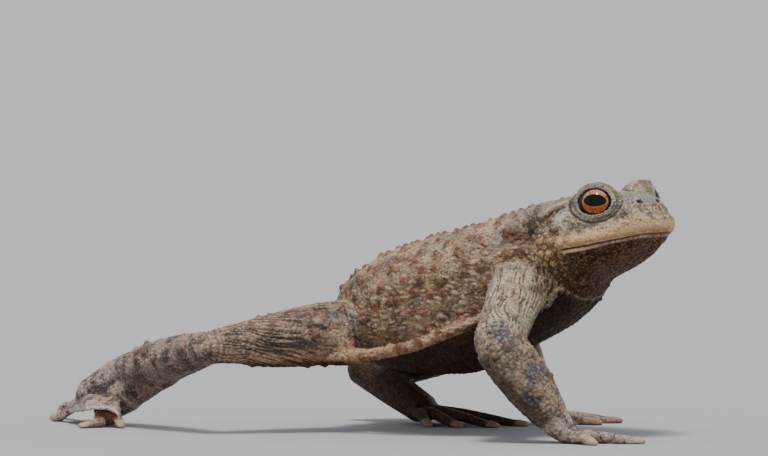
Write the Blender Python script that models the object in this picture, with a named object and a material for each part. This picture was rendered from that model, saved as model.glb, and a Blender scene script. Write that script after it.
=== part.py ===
# A common toad in mid stride, life size, as a still model.
# The whole body is shaped as one skin and then parted into its named pieces by thin cuts.
# Lengths are in millimetres. X runs forward, Y to the toad's left, and Z up from the floor.

import math
import random

import bmesh
import bpy
from mathutils import Matrix, Vector
from mathutils.bvhtree import BVHTree

MM = 0.001
GAP = 0.3                      # between pieces that meet
BEND_RADIUS = 7.2              # how far a joint's cut reaches on each side of the bone
BEND_REACH = 24.0              # and at most, into a tight fold
SIDES = 20                     # points round each cross section
BODY_GRAIN = 0.55              # how finely the body's skin is first made
FOOT_GRAIN = 0.36
BODY_FACES = 3600
HEAD_SKIN_FACES = 5800
ROOM_FACES = 1100
HAND_FACES = 420
FOOT_FACES = 660
LEAST_FACES = 12               # a closed surface with fewer is a crumb of a cut

# The trunk: X, Y of its midline, half width, top, bottom
TRUNK = (
    (-0.5, 0.0, 3.0, 27.75, 21.75),
    (1.4, 0.0, 6.2, 30.45, 18.25),
    (4.6, 0.0, 9.5, 32.45, 15.25),
    (8.5, 0.0, 12.6, 34.45, 13.05),
    (14.0, 0.0, 15.4, 36.65, 11.85),
    (21.0, 0.0, 17.0, 38.85, 11.25),
    (29.0, 0.0, 17.2, 41.05, 11.85),
    (36.0, 0.0, 16.4, 43.05, 14.45),
    (42.0, 0.2, 15.0, 45.05, 17.65),
    (48.0, 0.6, 13.4, 46.25, 21.05),
    (53.0, 0.4, 11.0, 45.75, 24.65),
    (56.5, -0.2, 7.5, 42.25, 28.25),
)

# The head in its own frame: forward, half width, rise and drop from its axis
HEAD_AT = (50.0, 0.9, 38.25)
HEAD_TURN = -11.0              # degrees, to the toad's right
HEAD_LIFT = 17.0               # degrees, chin up
HEAD_POWER = 2.5               # how square its cross section is
HEAD = (
    (-6.0, 11.5, 7.0, 8.0),
    (-2.0, 13.2, 8.2, 9.2),
    (3.0, 13.9, 8.3, 9.2),
    (8.0, 13.3, 7.7, 8.6),
    (12.0, 11.8, 7.0, 8.0),
    (15.5, 9.8, 6.0, 7.1),
    (18.5, 7.6, 4.7, 6.1),
    (20.8, 5.2, 3.0, 5.0),
    (22.2, 2.6, 0.8, 3.6),
)

# Eyes and what frames them, in the head's frame on the left side
EYE_AT = (13.4, 6.9, 4.1)
EYE_RADIUS = 3.9
EYE_LOOK = (0.30, 0.93, 0.20)
LID_RADIUS = 4.5
LID_OPENING = (3.35, 2.65)     # half length and half height
LID_RIM = 0.6                  # radius of the rim round the opening
SNOUT_RIDGE = ((12.4, 6.4, 6.2), (19.6, 2.6, 2.8), 1.4)
NOSTRIL_AT = (20.4, 2.3, 2.2)
NOSTRIL_RADIUS = 0.55
PAROTOID = (                   # the gland behind the eye: a point, half width, half height
    (9.0, 9.0, 6.0, 0.9, 0.8), (5.5, 10.4, 5.8, 2.0, 1.7), (1.0, 11.6, 5.0, 2.9, 2.3),
    (-3.5, 12.6, 3.4, 2.8, 2.2), (-7.0, 13.4, 1.2, 1.6, 1.3),
)

# The mouth, in the head's frame: its corner, and how its line runs to the front
MOUTH = ((7.0, -3.0), (12.0, -3.3), (17.0, -3.0), (23.0, -2.6), (27.0, -2.5))
JAW_HINGE = ((7.0, -3.0), (6.6, -8.0), (7.6, -14.0))
LIP_STEPS = (6.6, 9.0, 12.0, 15.0, 17.5, 19.6, 21.2)
LIP_FRONT = 22.9
UPPER_LIP = (1.15, 1.2, 1.15)   # height over the line, half width, half height
LOWER_LIP = (-0.9, 0.85, 0.7)
JAW_TUBERCLES = (              # behind the corner of the mouth: forward, height, radius
    (4.9, -0.9, 0.95), (4.0, -3.0, 1.05), (5.9, -4.7, 0.85), (2.6, -0.2, 0.8), (2.0, -2.6, 0.85),
    (3.4, -5.2, 0.8), (6.2, 1.3, 0.7),
)

# Limbs as the points of their joints
FORE_RIGHT = {"shoulder": (44.5, -12.0, 29.75), "elbow": (47.0, -26.0, 19.25), "wrist": (57.9, -22.0, 3.9)}
FORE_LEFT = {"shoulder": (42.5, 12.0, 29.25), "elbow": (24.8, 23.3, 19.0), "wrist": (29.0, 27.0, 4.1)}
HIND_RIGHT = {
    "hip": (5.0, -10.0, 20.05), "knee": (-14.3, -30.5, 17.25), "heel": (-42.6, -14.2, 10.4),
    "instep": (-51.0, -12.6, 6.2), "heel cut": (-0.8, -0.3, -0.52),
}
HIND_LEFT = {
    "hip": (6.0, 10.0, 20.05), "knee": (17.5, 31.5, 16.5), "heel": (-4.5, 20.0, 9.9),
    "instep": (9.0, 16.8, 3.0), "heel cut": (0.0, -0.76, -0.65),
}
CALF_RIGHT = (                 # the full underside of the right shank: a point and its radius
    (-28.2, -22.5, 11.6, 3.0), (-35.6, -18.3, 9.1, 3.3), (-42.0, -15.0, 6.0, 3.7), (-44.5, -14.5, 4.8, 3.4),
)

# Radii along each segment: the share of its length, half width, half height
UPPER_ARM = ((0.0, 6.0, 6.0), (0.35, 5.3, 5.4), (0.7, 4.9, 5.2), (1.0, 4.9, 5.2))
FOREARM = ((0.0, 5.0, 5.0), (0.3, 5.2, 5.2), (0.6, 4.8, 4.8), (0.85, 3.7, 3.7), (1.0, 3.1, 3.1))
THIGH = ((0.0, 7.6, 6.6), (0.3, 6.8, 5.8), (0.6, 5.4, 4.8), (0.85, 4.0, 3.8), (1.0, 3.5, 3.3))
SHANK = ((0.0, 3.3, 3.3), (0.25, 4.0, 4.0), (0.5, 4.5, 4.5), (0.75, 4.2, 4.3), (1.0, 3.3, 3.5))
TARSUS = ((0.0, 3.5, 3.8), (0.5, 3.6, 3.6), (1.0, 4.0, 3.0))

# Fingers and toes as their tips on the floor, and the knuckle's and the tip's radius
HAND_RIGHT = ((65.5, -12.5), (70.0, -14.2), (74.0, -17.2), (67.5, -25.3))
HAND_LEFT = ((39.5, 23.5), (42.5, 29.0), (43.5, 36.5), (34.5, 38.0))
FINGER_RADII = (1.4, 0.95)
SINK = 0.25                    # a tip's height over the floor, of its radius, before it is cut flat there
FINGER_ARCH = 1.0
FOOT_RIGHT = (                 # each toe's root, its tip, and how far the web to the next one reaches
    ((-44.0, -16.8, 5.2), (-39.5, -23.5), 0.66), ((-46.5, -17.2, 5.0), (-45.5, -26.5), 0.42),
    ((-49.8, -15.0, 5.2), (-61.0, -9.5), 0.66), ((-51.5, -12.6, 5.4), (-65.4, 0.2), 0.6),
    ((-50.5, -10.2, 5.2), (-58.5, 5.0), 0.0),
)
FOOT_LEFT = (
    ((9.2, 14.0, 2.4), (15.0, 7.5), 0.62), ((9.2, 15.3, 2.7), (21.5, 8.5), 0.72),
    ((9.0, 16.8, 2.9), (28.0, 12.0), 0.7), ((8.8, 18.3, 2.7), (31.0, 19.0), 0.68),
    ((8.6, 19.6, 2.4), (20.5, 26.5), 0.0),
)
TOE_RADII = (1.4, 0.9)
TOE_ARCH = 0.8
WEB_THICKNESS = 0.8

# The fold of skin along the flank, from the arm to the knee, on the right side
FOLD_RIGHT = (
    (39.0, -15.6, 23.65), (33.0, -17.0, 21.25), (27.0, -17.8, 18.85), (20.0, -17.6, 16.85),
    (12.0, -16.6, 15.65), (4.0, -17.0, 15.05), (-3.5, -20.5, 14.85), (-9.0, -25.5, 15.25),
)
FOLD_LEFT = ((39.0, 15.6, 23.65), (33.0, 17.0, 21.25), (27.0, 17.6, 19.25), (20.0, 17.6, 18.65))
FOLD_RADIUS = 1.25

FLANK_WARTS = (                # the row of large warts above each flank: X, degrees over level, radius
    (9.0, 30.0, 1.2), (13.5, 34.0, 1.1), (18.0, 30.0, 1.35), (23.0, 33.0, 1.2), (27.5, 36.0, 1.45),
    (32.5, 33.0, 1.4), (37.0, 36.0, 1.5), (40.5, 42.0, 1.2),
)
WARTS = {                      # how many, their least and largest radius, and least rise of the skin's normal
    "torso": (70, 0.65, 1.25, -0.1), "head": (20, 0.5, 0.85, 0.35),
    "thigh_right": (11, 0.6, 1.0, 0.1), "thigh_left": (11, 0.6, 1.0, 0.1),
    "shank_right": (11, 0.6, 1.0, 0.1), "shank_left": (11, 0.6, 1.0, 0.1),
    "upper_arm_right": (6, 0.6, 0.95, 0.2), "upper_arm_left": (6, 0.6, 0.95, 0.2),
    "forearm_right": (9, 0.6, 0.95, -0.1), "forearm_left": (9, 0.6, 0.95, -0.1),
}
WART_RISE = 0.62               # height of a wart, of its radius
WART_ROOT = 0.25               # how deep its widest ring lies, of its radius
WART_SIDES = 6
WART_RINGS = 4
WART_SEED = 11

TINTS = {
    "back": (0.30, 0.21, 0.13), "limb": (0.27, 0.20, 0.13), "throat": (0.16, 0.11, 0.07),
    "digit": (0.36, 0.25, 0.18), "eye": (0.55, 0.16, 0.03),
}


def clear_scene():
    for old in list(bpy.data.objects):
        bpy.data.objects.remove(old, do_unlink=True)


def between(rows, steps):
    """Rows of numbers read from a smooth curve through the given rows."""
    fine = []
    last = len(rows) - 1
    for i in range(last):
        near = (rows[max(i - 1, 0)], rows[i], rows[i + 1], rows[min(i + 2, last)])
        for k in range(steps):
            t = k / steps
            row = []
            for a, b, c, d in zip(*near):
                bend = (2 * a - 5 * b + 4 * c - d) * t + (3 * b - a - 3 * c + d) * t ** 2
                row.append(0.5 * (2 * b + (c - a + bend) * t))
            fine.append(row)
    fine.append(list(rows[last]))
    return fine


def superellipse(angle, power):
    c = math.cos(angle)
    s = math.sin(angle)
    return math.copysign(abs(c) ** (2 / power), c), math.copysign(abs(s) ** (2 / power), s)


def loft(bm, rings, tips):
    """Skin over rings of points, closed at each end over a tip point."""
    rows = [[bm.verts.new(p) for p in ring] for ring in rings]
    count = len(rows[0])
    for low, high in zip(rows, rows[1:]):
        for i in range(count):
            j = (i + 1) % count
            bm.faces.new((low[i], low[j], high[j], high[i]))
    start = bm.verts.new(tips[0])
    end = bm.verts.new(tips[1])
    for i in range(count):
        j = (i + 1) % count
        bm.faces.new((start, rows[0][j], rows[0][i]))
        bm.faces.new((end, rows[-1][i], rows[-1][j]))


def barrel(bm, stations, frame, grow=0.0, power=2.3):
    """A body along the frame's X from rows of X, Y, half width, top and bottom."""
    rings = []
    for x, y, half, top, bottom in stations:
        middle = (top + bottom) / 2
        ring = []
        for i in range(SIDES):
            across, up = superellipse(2 * math.pi * i / SIDES, power)
            height = (top - bottom) / 2 + grow
            ring.append(frame @ Vector((x, y + across * (half + grow), middle + up * height)))
        rings.append(ring)
    first, last = stations[0], stations[-1]
    tips = (
        frame @ Vector((first[0] - 1.0 - grow, first[1], (first[3] + first[4]) / 2)),
        frame @ Vector((last[0] + 0.8 + grow, last[1], (last[3] + last[4]) / 2)),
    )
    loft(bm, rings, tips)


def tube(bm, stations, sides=12):
    """A round-ended tube from rows of X, Y, Z, half width and half height."""
    places = [Vector(row[:3]) for row in stations]
    rings = []
    tips = []
    for i, (here, row) in enumerate(zip(places, stations)):
        ahead = places[min(i + 1, len(places) - 1)] - places[max(i - 1, 0)]
        ahead.normalize()
        side = ahead.cross(Vector((0, 0, 1)))
        if side.length < 0.05:
            side = Vector((0, 1, 0)).cross(ahead)
        side.normalize()
        rise = side.cross(ahead)
        steps = [(1.0, 0.0)]
        if i == 0:
            steps = [(0.62, -0.72), (1.0, 0.0)]
            tips.append(here - ahead * min(row[3:]))
        if i == len(places) - 1:
            steps = [(1.0, 0.0), (0.62, 0.72)]
            tips.append(here + ahead * min(row[3:]))
        for size, shift in steps:
            ring = []
            for k in range(sides):
                angle = 2 * math.pi * k / sides
                across = side * math.cos(angle) * row[3] * size
                up = rise * math.sin(angle) * row[4] * size
                ring.append(here + across + up + ahead * shift * min(row[3:]))
            rings.append(ring)
    loft(bm, rings, tips)


def segment(bm, start, end, girths):
    """One length of a limb between two joints."""
    a, b = Vector(start), Vector(end)
    rows = [(*a.lerp(b, share), wide, deep) for share, wide, deep in girths]
    tube(bm, between(rows, 3), 14)


def ball(bm, centre, sizes, turn=None, detail=3):
    place = Matrix.Translation(centre) @ (turn or Matrix()) @ Matrix.Diagonal((*sizes, 1.0))
    bmesh.ops.create_icosphere(bm, subdivisions=detail, radius=1.0, matrix=place)


def as_object(bm, name):
    bmesh.ops.recalc_face_normals(bm, faces=bm.faces)
    mesh = bpy.data.meshes.new(name)
    bm.to_mesh(mesh)
    bm.free()
    made = bpy.data.objects.new(name, mesh)
    bpy.context.collection.objects.link(made)
    return made


def settle(made):
    """The object's mesh with its modifiers applied."""
    graph = bpy.context.evaluated_depsgraph_get()
    mesh = bpy.data.meshes.new_from_object(made.evaluated_get(graph))
    made.modifiers.clear()
    made.data = mesh
    return made


def face_count(mesh):
    return sum(len(face.vertices) - 2 for face in mesh.polygons)


def fused(bm, name, grain, rounds, faces):
    """One closed skin over everything in the bmesh, smoothed and thinned to a face count."""
    made = as_object(bm, name)
    skin = made.modifiers.new("skin", "REMESH")
    skin.mode = "VOXEL"
    skin.voxel_size = grain
    ease = made.modifiers.new("ease", "SMOOTH")
    ease.factor = 0.5
    ease.iterations = rounds
    settle(made)
    thin = made.modifiers.new("thin", "DECIMATE")
    thin.ratio = faces / face_count(made.data)
    return settle(made)


def copied(made, name):
    twin = bpy.data.objects.new(name, made.data.copy())
    bpy.context.collection.objects.link(twin)
    return twin


def combine(made, others, operation, solver="EXACT"):
    """One Boolean between an object and a list of others, which are then removed."""
    group = bpy.data.collections.new("cutters")
    bpy.context.scene.collection.children.link(group)
    for other in others:
        group.objects.link(other)
    step = made.modifiers.new("join", "BOOLEAN")
    step.operation = operation
    step.solver = solver
    step.operand_type = "COLLECTION"
    step.collection = group
    settle(made)
    for other in others:
        bpy.data.objects.remove(other, do_unlink=True)
    bpy.data.collections.remove(group)
    return made


def drop_flaps(bm):
    """Takes out pairs of faces that lie back to back on the same corners."""
    on_corners = {}
    for face in bm.faces:
        on_corners.setdefault(frozenset(face.verts), []).append(face)
    doubled = [face for same in on_corners.values() if len(same) > 1 for face in same]
    bmesh.ops.delete(bm, geom=doubled, context="FACES_ONLY")


def islands(made):
    """Each closed surface of an object as a bmesh of its own, the largest first."""
    whole = bmesh.new()
    whole.from_mesh(made.data)
    drop_flaps(whole)
    seen = set()
    groups = []
    for face in whole.faces:
        if face in seen:
            continue
        seen.add(face)
        group = [face]
        for reached in group:
            for edge in reached.edges:
                for other in edge.link_faces:
                    if other not in seen:
                        seen.add(other)
                        group.append(other)
        groups.append(group)
    found = []
    for group in sorted(groups, key=len, reverse=True):
        if len(group) < LEAST_FACES:
            break
        piece = bmesh.new()
        new = {}
        for face in group:
            corners = []
            for vert in face.verts:
                if vert not in new:
                    new[vert] = piece.verts.new(vert.co)
                corners.append(new[vert])
            piece.faces.new(corners)
        found.append(piece)
    whole.free()
    return found


def middle_of(piece):
    total = Vector()
    for vert in piece.verts:
        total += vert.co
    return total / len(piece.verts)


def part_by_anchor(made, anchors):
    """Names each closed surface of an object after the anchor nearest its middle."""
    pieces = {}
    for piece in islands(made):
        centre = middle_of(piece)
        name = min(anchors, key=lambda key: (Vector(anchors[key]) - centre).length)
        if name not in pieces:
            pieces[name] = as_object(piece, name)
    bpy.data.objects.remove(made, do_unlink=True)
    return pieces


def trimmed(made, point, normal):
    """Cuts off what lies ahead of a plane and closes the cut flat."""
    bm = bmesh.new()
    bm.from_mesh(made.data)
    every = bm.verts[:] + bm.edges[:] + bm.faces[:]
    cut = bmesh.ops.bisect_plane(
        bm, geom=every, plane_co=point, plane_no=normal, clear_outer=True, dist=0.001
    )
    rim = [e for e in cut["geom_cut"] if isinstance(e, bmesh.types.BMEdge)]
    bmesh.ops.triangle_fill(bm, edges=rim, use_beauty=True, normal=Vector(normal))
    bmesh.ops.recalc_face_normals(bm, faces=bm.faces)
    bm.to_mesh(made.data)
    bm.free()
    return made


def slab(name, centre, normal, radius, thickness=GAP):
    """A thin round cutter across a joint."""
    bm = bmesh.new()
    turn = Vector(normal).to_track_quat("Z", "Y").to_matrix().to_4x4()
    bmesh.ops.create_cone(
        bm, cap_ends=True, segments=24, radius1=radius, radius2=radius, depth=thickness,
        matrix=Matrix.Translation(centre) @ turn,
    )
    return as_object(bm, name)


def joint_cutter(a, b, c):
    """A disc that halves the bend at b, reaching further in where the limb is folded tight."""
    back, on = (a - b).normalized(), (c - b).normalized()
    inward = (back + on).normalized()
    reach = min(BEND_RADIUS / math.sin(back.angle(on) / 2), BEND_REACH)
    outer = BEND_RADIUS * 1.25
    return slab("joint", b + inward * (reach - outer) / 2, on - back, (reach + outer) / 2)


def head_frame():
    turn = Matrix.Rotation(math.radians(HEAD_TURN), 4, "Z")
    lift = Matrix.Rotation(math.radians(-HEAD_LIFT), 4, "Y")
    return Matrix.Translation(HEAD_AT) @ turn @ lift


def on_side(point, side):
    return Vector((point[0], point[1] * side, point[2]))


def trunk_forms(bm, grow):
    """The trunk with its flank folds, also grown a little as the cutter that frees the limbs."""
    barrel(bm, between(TRUNK, 3), Matrix(), grow)
    if grow:
        frame = head_frame()
        head_barrel(bm, frame, grow)
        for side in (1, -1):
            parotoid_form(bm, frame, side, grow)
    for fold in (FOLD_RIGHT[:6], FOLD_LEFT):
        rows = [(*place, FOLD_RADIUS + grow, FOLD_RADIUS + grow) for place in fold]
        tube(bm, between(rows, 3))


def head_barrel(bm, frame, grow=0.0):
    rows = [(x, 0.0, half, rise, -drop) for x, half, rise, drop in HEAD]
    barrel(bm, between(rows, 3), frame, grow, power=HEAD_POWER)


def read_off(rows, x):
    """A row of numbers at x, on straight lines between the given rows."""
    for low, high in zip(rows, rows[1:]):
        if x <= high[0]:
            break
    share = min(max((x - low[0]) / (high[0] - low[0]), 0.0), 1.0)
    return [a + (b - a) * share for a, b in zip(low, high)]


def cheek(x, z):
    """How far out the side of the head lies at a height, in its frame."""
    half, rise, drop = read_off(HEAD, x)[1:]
    middle, tall = (rise - drop) / 2, (rise + drop) / 2
    up = min(abs(z - middle) / tall, 0.98)
    return half * (1 - up ** HEAD_POWER) ** (1 / HEAD_POWER)


def lip_form(bm, frame, lip):
    """A soft ridge all along the line of the mouth, from corner to corner."""
    over, wide, high = lip
    side = []
    for x in LIP_STEPS:
        z = read_off(MOUTH, x)[1] + over
        side.append((x, cheek(x, z), z))
    front = (LIP_FRONT, 0.0, MOUTH[-2][1] + over)
    path = side + [front] + [(x, -y, z) for x, y, z in reversed(side)]
    tube(bm, between([(*(frame @ Vector(place)), wide, high) for place in path], 2))


def parotoid_form(bm, frame, side, grow=0.0):
    rows = [(*(frame @ on_side(row[:3], side)), row[3] + grow, row[4] + grow) for row in PAROTOID]
    tube(bm, between(rows, 3))


def head_forms(bm, frame):
    head_barrel(bm, frame)
    for side in (1, -1):
        ball(bm, frame @ on_side(EYE_AT, side), (LID_RADIUS,) * 3)
        start, end, radius = SNOUT_RIDGE
        start, end = frame @ on_side(start, side), frame @ on_side(end, side)
        segment(bm, start, end, ((0, radius, radius), (1, radius * 0.7, radius * 0.7)))
        parotoid_form(bm, frame, side)
    for lip in (UPPER_LIP, LOWER_LIP):
        lip_form(bm, frame, lip)


def arm_forms(bm, joints):
    segment(bm, joints["shoulder"], joints["elbow"], UPPER_ARM)
    segment(bm, joints["elbow"], joints["wrist"], FOREARM)


def leg_forms(bm, joints):
    segment(bm, joints["hip"], joints["knee"], THIGH)
    segment(bm, joints["knee"], joints["heel"], SHANK)
    heel, instep = Vector(joints["heel"]), Vector(joints["instep"])
    segment(bm, heel, heel.lerp(instep, 0.4), TARSUS)


def digit(bm, root, tip, radii, arch):
    """A finger or toe from its root over a low arch down to its tip on the floor."""
    knuckle, end = radii
    a = Vector(root)
    b = Vector((*tip, end * SINK))
    rows = []
    for share in (0.0, 0.3, 0.6, 0.85, 1.0):
        place = a.lerp(b, share)
        place.z += arch * math.sin(math.pi * share) * (1 - share)
        radius = knuckle + (end - knuckle) * share
        rows.append((*place, radius, radius * 0.92))
    tube(bm, between(rows, 3), 10)
    return [Vector(row[:3]) for row in rows]


def web(bm, first, second, reach):
    """The membrane between two toes, with its free edge drawn in."""
    rows = []
    for share in (0.0, 0.25, 0.5, 0.75, 1.0):
        along = share * reach
        a = first[0].lerp(first[-1], along)
        b = second[0].lerp(second[-1], along)
        a.z = max(along_toe(first, along).z, 0.3)
        b.z = max(along_toe(second, along).z, 0.3)
        a.xy = along_toe(first, along).xy
        b.xy = along_toe(second, along).xy
        rows.append((a, b))
    half = WEB_THICKNESS / 2
    cells = 4
    top, under = [], []
    for k, (a, b) in enumerate(rows):
        sag = 0.22 * (k / (len(rows) - 1)) ** 2
        inner = first[0].lerp(second[0], 0.5)
        upper, lower = [], []
        for i in range(cells + 1):
            s = i / cells
            place = a.lerp(b, s).lerp(inner, sag * math.sin(math.pi * s))
            upper.append(bm.verts.new(place + Vector((0, 0, half))))
            lower.append(bm.verts.new(place - Vector((0, 0, half))))
        top.append(upper)
        under.append(lower)
    last = len(rows) - 1
    for k in range(last):
        for i in range(cells):
            bm.faces.new((top[k][i], top[k][i + 1], top[k + 1][i + 1], top[k + 1][i]))
            bm.faces.new((under[k][i], under[k + 1][i], under[k + 1][i + 1], under[k][i + 1]))
        bm.faces.new((top[k][0], top[k + 1][0], under[k + 1][0], under[k][0]))
        bm.faces.new((top[k][cells], under[k][cells], under[k + 1][cells], top[k + 1][cells]))
    for i in range(cells):
        bm.faces.new((top[0][i], under[0][i], under[0][i + 1], top[0][i + 1]))
        bm.faces.new((top[last][i], top[last][i + 1], under[last][i + 1], under[last][i]))


def along_toe(toe, share):
    """The point at a share of the way along a toe's five stations."""
    shares = (0.0, 0.3, 0.6, 0.85, 1.0)
    for (low, a), (high, b) in zip(zip(shares, toe), zip(shares[1:], toe[1:])):
        if share <= high:
            return a.lerp(b, (share - low) / (high - low))
    return toe[-1].copy()


def hand(name, joints, tips):
    bm = bmesh.new()
    elbow, wrist = Vector(joints["elbow"]), Vector(joints["wrist"])
    ahead = Vector((*(sum(t[i] for t in tips) / len(tips) for i in (0, 1)), 1.6)) - wrist
    ahead.z = 0
    ahead.normalize()
    side = Vector((-ahead.y, ahead.x, 0))
    segment(bm, elbow.lerp(wrist, 0.82), wrist, ((0, 3.8, 3.8), (1, 3.1, 3.1)))
    palm = wrist + ahead * 2.2
    palm.z = 1.6
    segment(bm, wrist, palm, ((0, 3.1, 3.1), (1, 3.4, 2.1)))
    middle = (len(tips) - 1) / 2
    for i, tip in enumerate(tips):
        spread = (middle - i) * 1.55 * hand_side(tips, side)
        root = palm + ahead * 1.2 + side * spread
        root.z = 1.2
        digit(bm, root, tip, FINGER_RADII, FINGER_ARCH)
    made = fused(bm, name, FOOT_GRAIN, 3, HAND_FACES)
    trimmed(made, wrist - (wrist - elbow).normalized() * (1.0 - GAP / 2), elbow - wrist)
    return trimmed(made, Vector((0, 0, 0)), Vector((0, 0, -1)))


def hand_side(tips, side):
    """Whether the first digit lies on the positive side of the hand's own axis."""
    across = Vector((tips[0][0] - tips[-1][0], tips[0][1] - tips[-1][1], 0))
    return 1 if across.dot(side) > 0 else -1


def foot(name, joints, toes):
    """A foot from the heel on: its long sole, its toes and the webs between them."""
    bm = bmesh.new()
    heel, instep = Vector(joints["heel"]), Vector(joints["instep"])
    along = (instep - heel).normalized()
    segment(bm, heel - along * 2.5, instep, TARSUS)
    if name == "foot_right":
        tube(bm, between([(*row, row[3]) for row in CALF_RIGHT], 3))
    lines = [digit(bm, root, tip, TOE_RADII, TOE_ARCH) for root, tip, _ in toes]
    for i, toe in enumerate(toes[:-1]):
        web(bm, lines[i], lines[i + 1], toe[2])
    made = fused(bm, name, FOOT_GRAIN, 2, FOOT_FACES)
    cut = Vector(joints["heel cut"]).normalized()
    trimmed(made, heel + cut * GAP / 2, -cut)
    return trimmed(made, Vector((0, 0, 0)), Vector((0, 0, -1)))


def mouth_cutter(frame):
    """A thin sheet along the line of the mouth and down behind the jaw."""
    bm = bmesh.new()
    line = list(reversed(JAW_HINGE[1:])) + list(MOUTH)
    fine = between(line, 3)
    rows = []
    for i, (x, z) in enumerate(fine):
        before = Vector(fine[max(i - 1, 0)])
        after = Vector(fine[min(i + 1, len(fine) - 1)])
        ahead = (after - before).normalized()
        up = Vector((-ahead.y, ahead.x)) * GAP / 2
        rows.append([
            bm.verts.new(frame @ Vector((x + up.x * k, y, z + up.y * k)))
            for y, k in ((-20, 1), (20, 1), (20, -1), (-20, -1))
        ])
    for low, high in zip(rows, rows[1:]):
        for i in range(4):
            j = (i + 1) % 4
            bm.faces.new((low[i], low[j], high[j], high[i]))
    bm.faces.new(reversed(rows[0]))
    bm.faces.new(rows[-1])
    return as_object(bm, "mouth cut")


def eye_frame(frame, side):
    """A frame on an eye: Z looks out, X runs level along the lids."""
    look = frame.to_3x3() @ on_side(EYE_LOOK, side)
    look.normalize()
    level = Vector((0, 0, 1)).cross(look)
    level.normalize()
    rise = look.cross(level)
    turn = Matrix((level, rise, look)).transposed().to_4x4()
    return Matrix.Translation(frame @ on_side(EYE_AT, side)) @ turn


def lid_rim(frame, side):
    """The raised rim round the opening of the lids."""
    here = eye_frame(frame, side)
    around, sides = 24, 6
    bm = bmesh.new()
    rings = []
    for k in range(around):
        angle = 2 * math.pi * k / around
        out = Vector((math.cos(angle), math.sin(angle), 0.0))
        place = Vector([(LID_OPENING[i] + LID_RIM * 0.8) * out[i] for i in (0, 1)] + [0.0])
        place.z = math.sqrt((LID_RADIUS - LID_RIM * 0.3) ** 2 - place.length_squared)
        ring = []
        for i in range(sides):
            turn = 2 * math.pi * i / sides
            point = place + out * math.cos(turn) * LID_RIM + Vector((0, 0, math.sin(turn) * LID_RIM))
            ring.append(bm.verts.new(here @ point))
        rings.append(ring)
    for k in range(around):
        low, high = rings[k], rings[(k + 1) % around]
        for i in range(sides):
            j = (i + 1) % sides
            bm.faces.new((low[i], high[i], high[j], low[j]))
    return as_object(bm, "lid rim")


def eye_cutters(frame, side):
    """The socket for the eyeball, and the opening between the lids."""
    here = eye_frame(frame, side)
    socket = bmesh.new()
    bmesh.ops.create_icosphere(socket, subdivisions=3, radius=EYE_RADIUS + GAP, matrix=here)
    opening = bmesh.new()
    half_long, half_high = LID_OPENING
    shape = Matrix.Diagonal((half_long, half_high, 1.0, 1.0))
    bmesh.ops.create_cone(
        opening, cap_ends=True, segments=24, radius1=0.85, radius2=1.35, depth=5.0,
        matrix=here @ Matrix.Translation((0, 0, 4.0)) @ shape,
    )
    return [as_object(socket, "socket"), as_object(opening, "opening")]


def nostril_cutter(frame, side):
    bm = bmesh.new()
    look = (frame.to_3x3() @ Vector((0.55, 0.62 * side, 0.56))).normalized()
    turn = look.to_track_quat("Z", "Y").to_matrix().to_4x4()
    bmesh.ops.create_cone(
        bm, cap_ends=True, segments=10, radius1=NOSTRIL_RADIUS * 0.6, radius2=NOSTRIL_RADIUS * 1.3, depth=3.0,
        matrix=Matrix.Translation(frame @ on_side(NOSTRIL_AT, side)) @ turn,
    )
    return as_object(bm, "nostril")


def eyeball(frame, side, name):
    bm = bmesh.new()
    bmesh.ops.create_icosphere(bm, subdivisions=3, radius=EYE_RADIUS, matrix=eye_frame(frame, side))
    return as_object(bm, name)


def largest(made):
    """Keeps only an object's largest closed surface, in triangles."""
    piece = islands(made)[0]
    bmesh.ops.dissolve_degenerate(piece, dist=0.002, edges=piece.edges[:])
    bmesh.ops.triangulate(piece, faces=piece.faces[:])
    piece.to_mesh(made.data)
    piece.free()
    return made


def paint(made, tint, roughness):
    skin = bpy.data.materials.get(tint) or bpy.data.materials.new(tint)
    skin.use_nodes = True
    shader = skin.node_tree.nodes["Principled BSDF"]
    shader.inputs["Base Color"].default_value = (*TINTS[tint], 1.0)
    shader.inputs["Roughness"].default_value = roughness
    shader.inputs["Metallic"].default_value = 0.0
    made.data.materials.clear()
    made.data.materials.append(skin)


def whole_body(frame):
    """The skin of everything but hands, feet and eyes."""
    bm = bmesh.new()
    trunk_forms(bm, 0.0)
    head_forms(bm, frame)
    for joints in (FORE_RIGHT, FORE_LEFT):
        arm_forms(bm, joints)
    for joints in (HIND_RIGHT, HIND_LEFT):
        leg_forms(bm, joints)
    rows = [(*place, FOLD_RADIUS * 0.8, FOLD_RADIUS * 1.6) for place in FOLD_RIGHT[4:]]
    tube(bm, between(rows, 3))
    tube(bm, between([(*row, row[3]) for row in CALF_RIGHT], 3))
    return bm


def make_head(body, frame, neck, ahead):
    head = trimmed(copied(body, "head whole"), neck, -ahead)
    largest(head)
    cutters = [mouth_cutter(frame)]
    combine(head, cutters, "DIFFERENCE")
    anchors = {"head": frame @ Vector((6, 0, 2)), "lower_jaw": frame @ Vector((14, 0, -6))}
    pieces = part_by_anchor(head, anchors)
    combine(pieces["head"], [lid_rim(frame, side) for side in (1, -1)], "UNION")
    cutters = []
    for side in (1, -1):
        cutters += eye_cutters(frame, side)
        cutters.append(nostril_cutter(frame, side))
    combine(pieces["head"], cutters, "DIFFERENCE")
    return pieces


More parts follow.
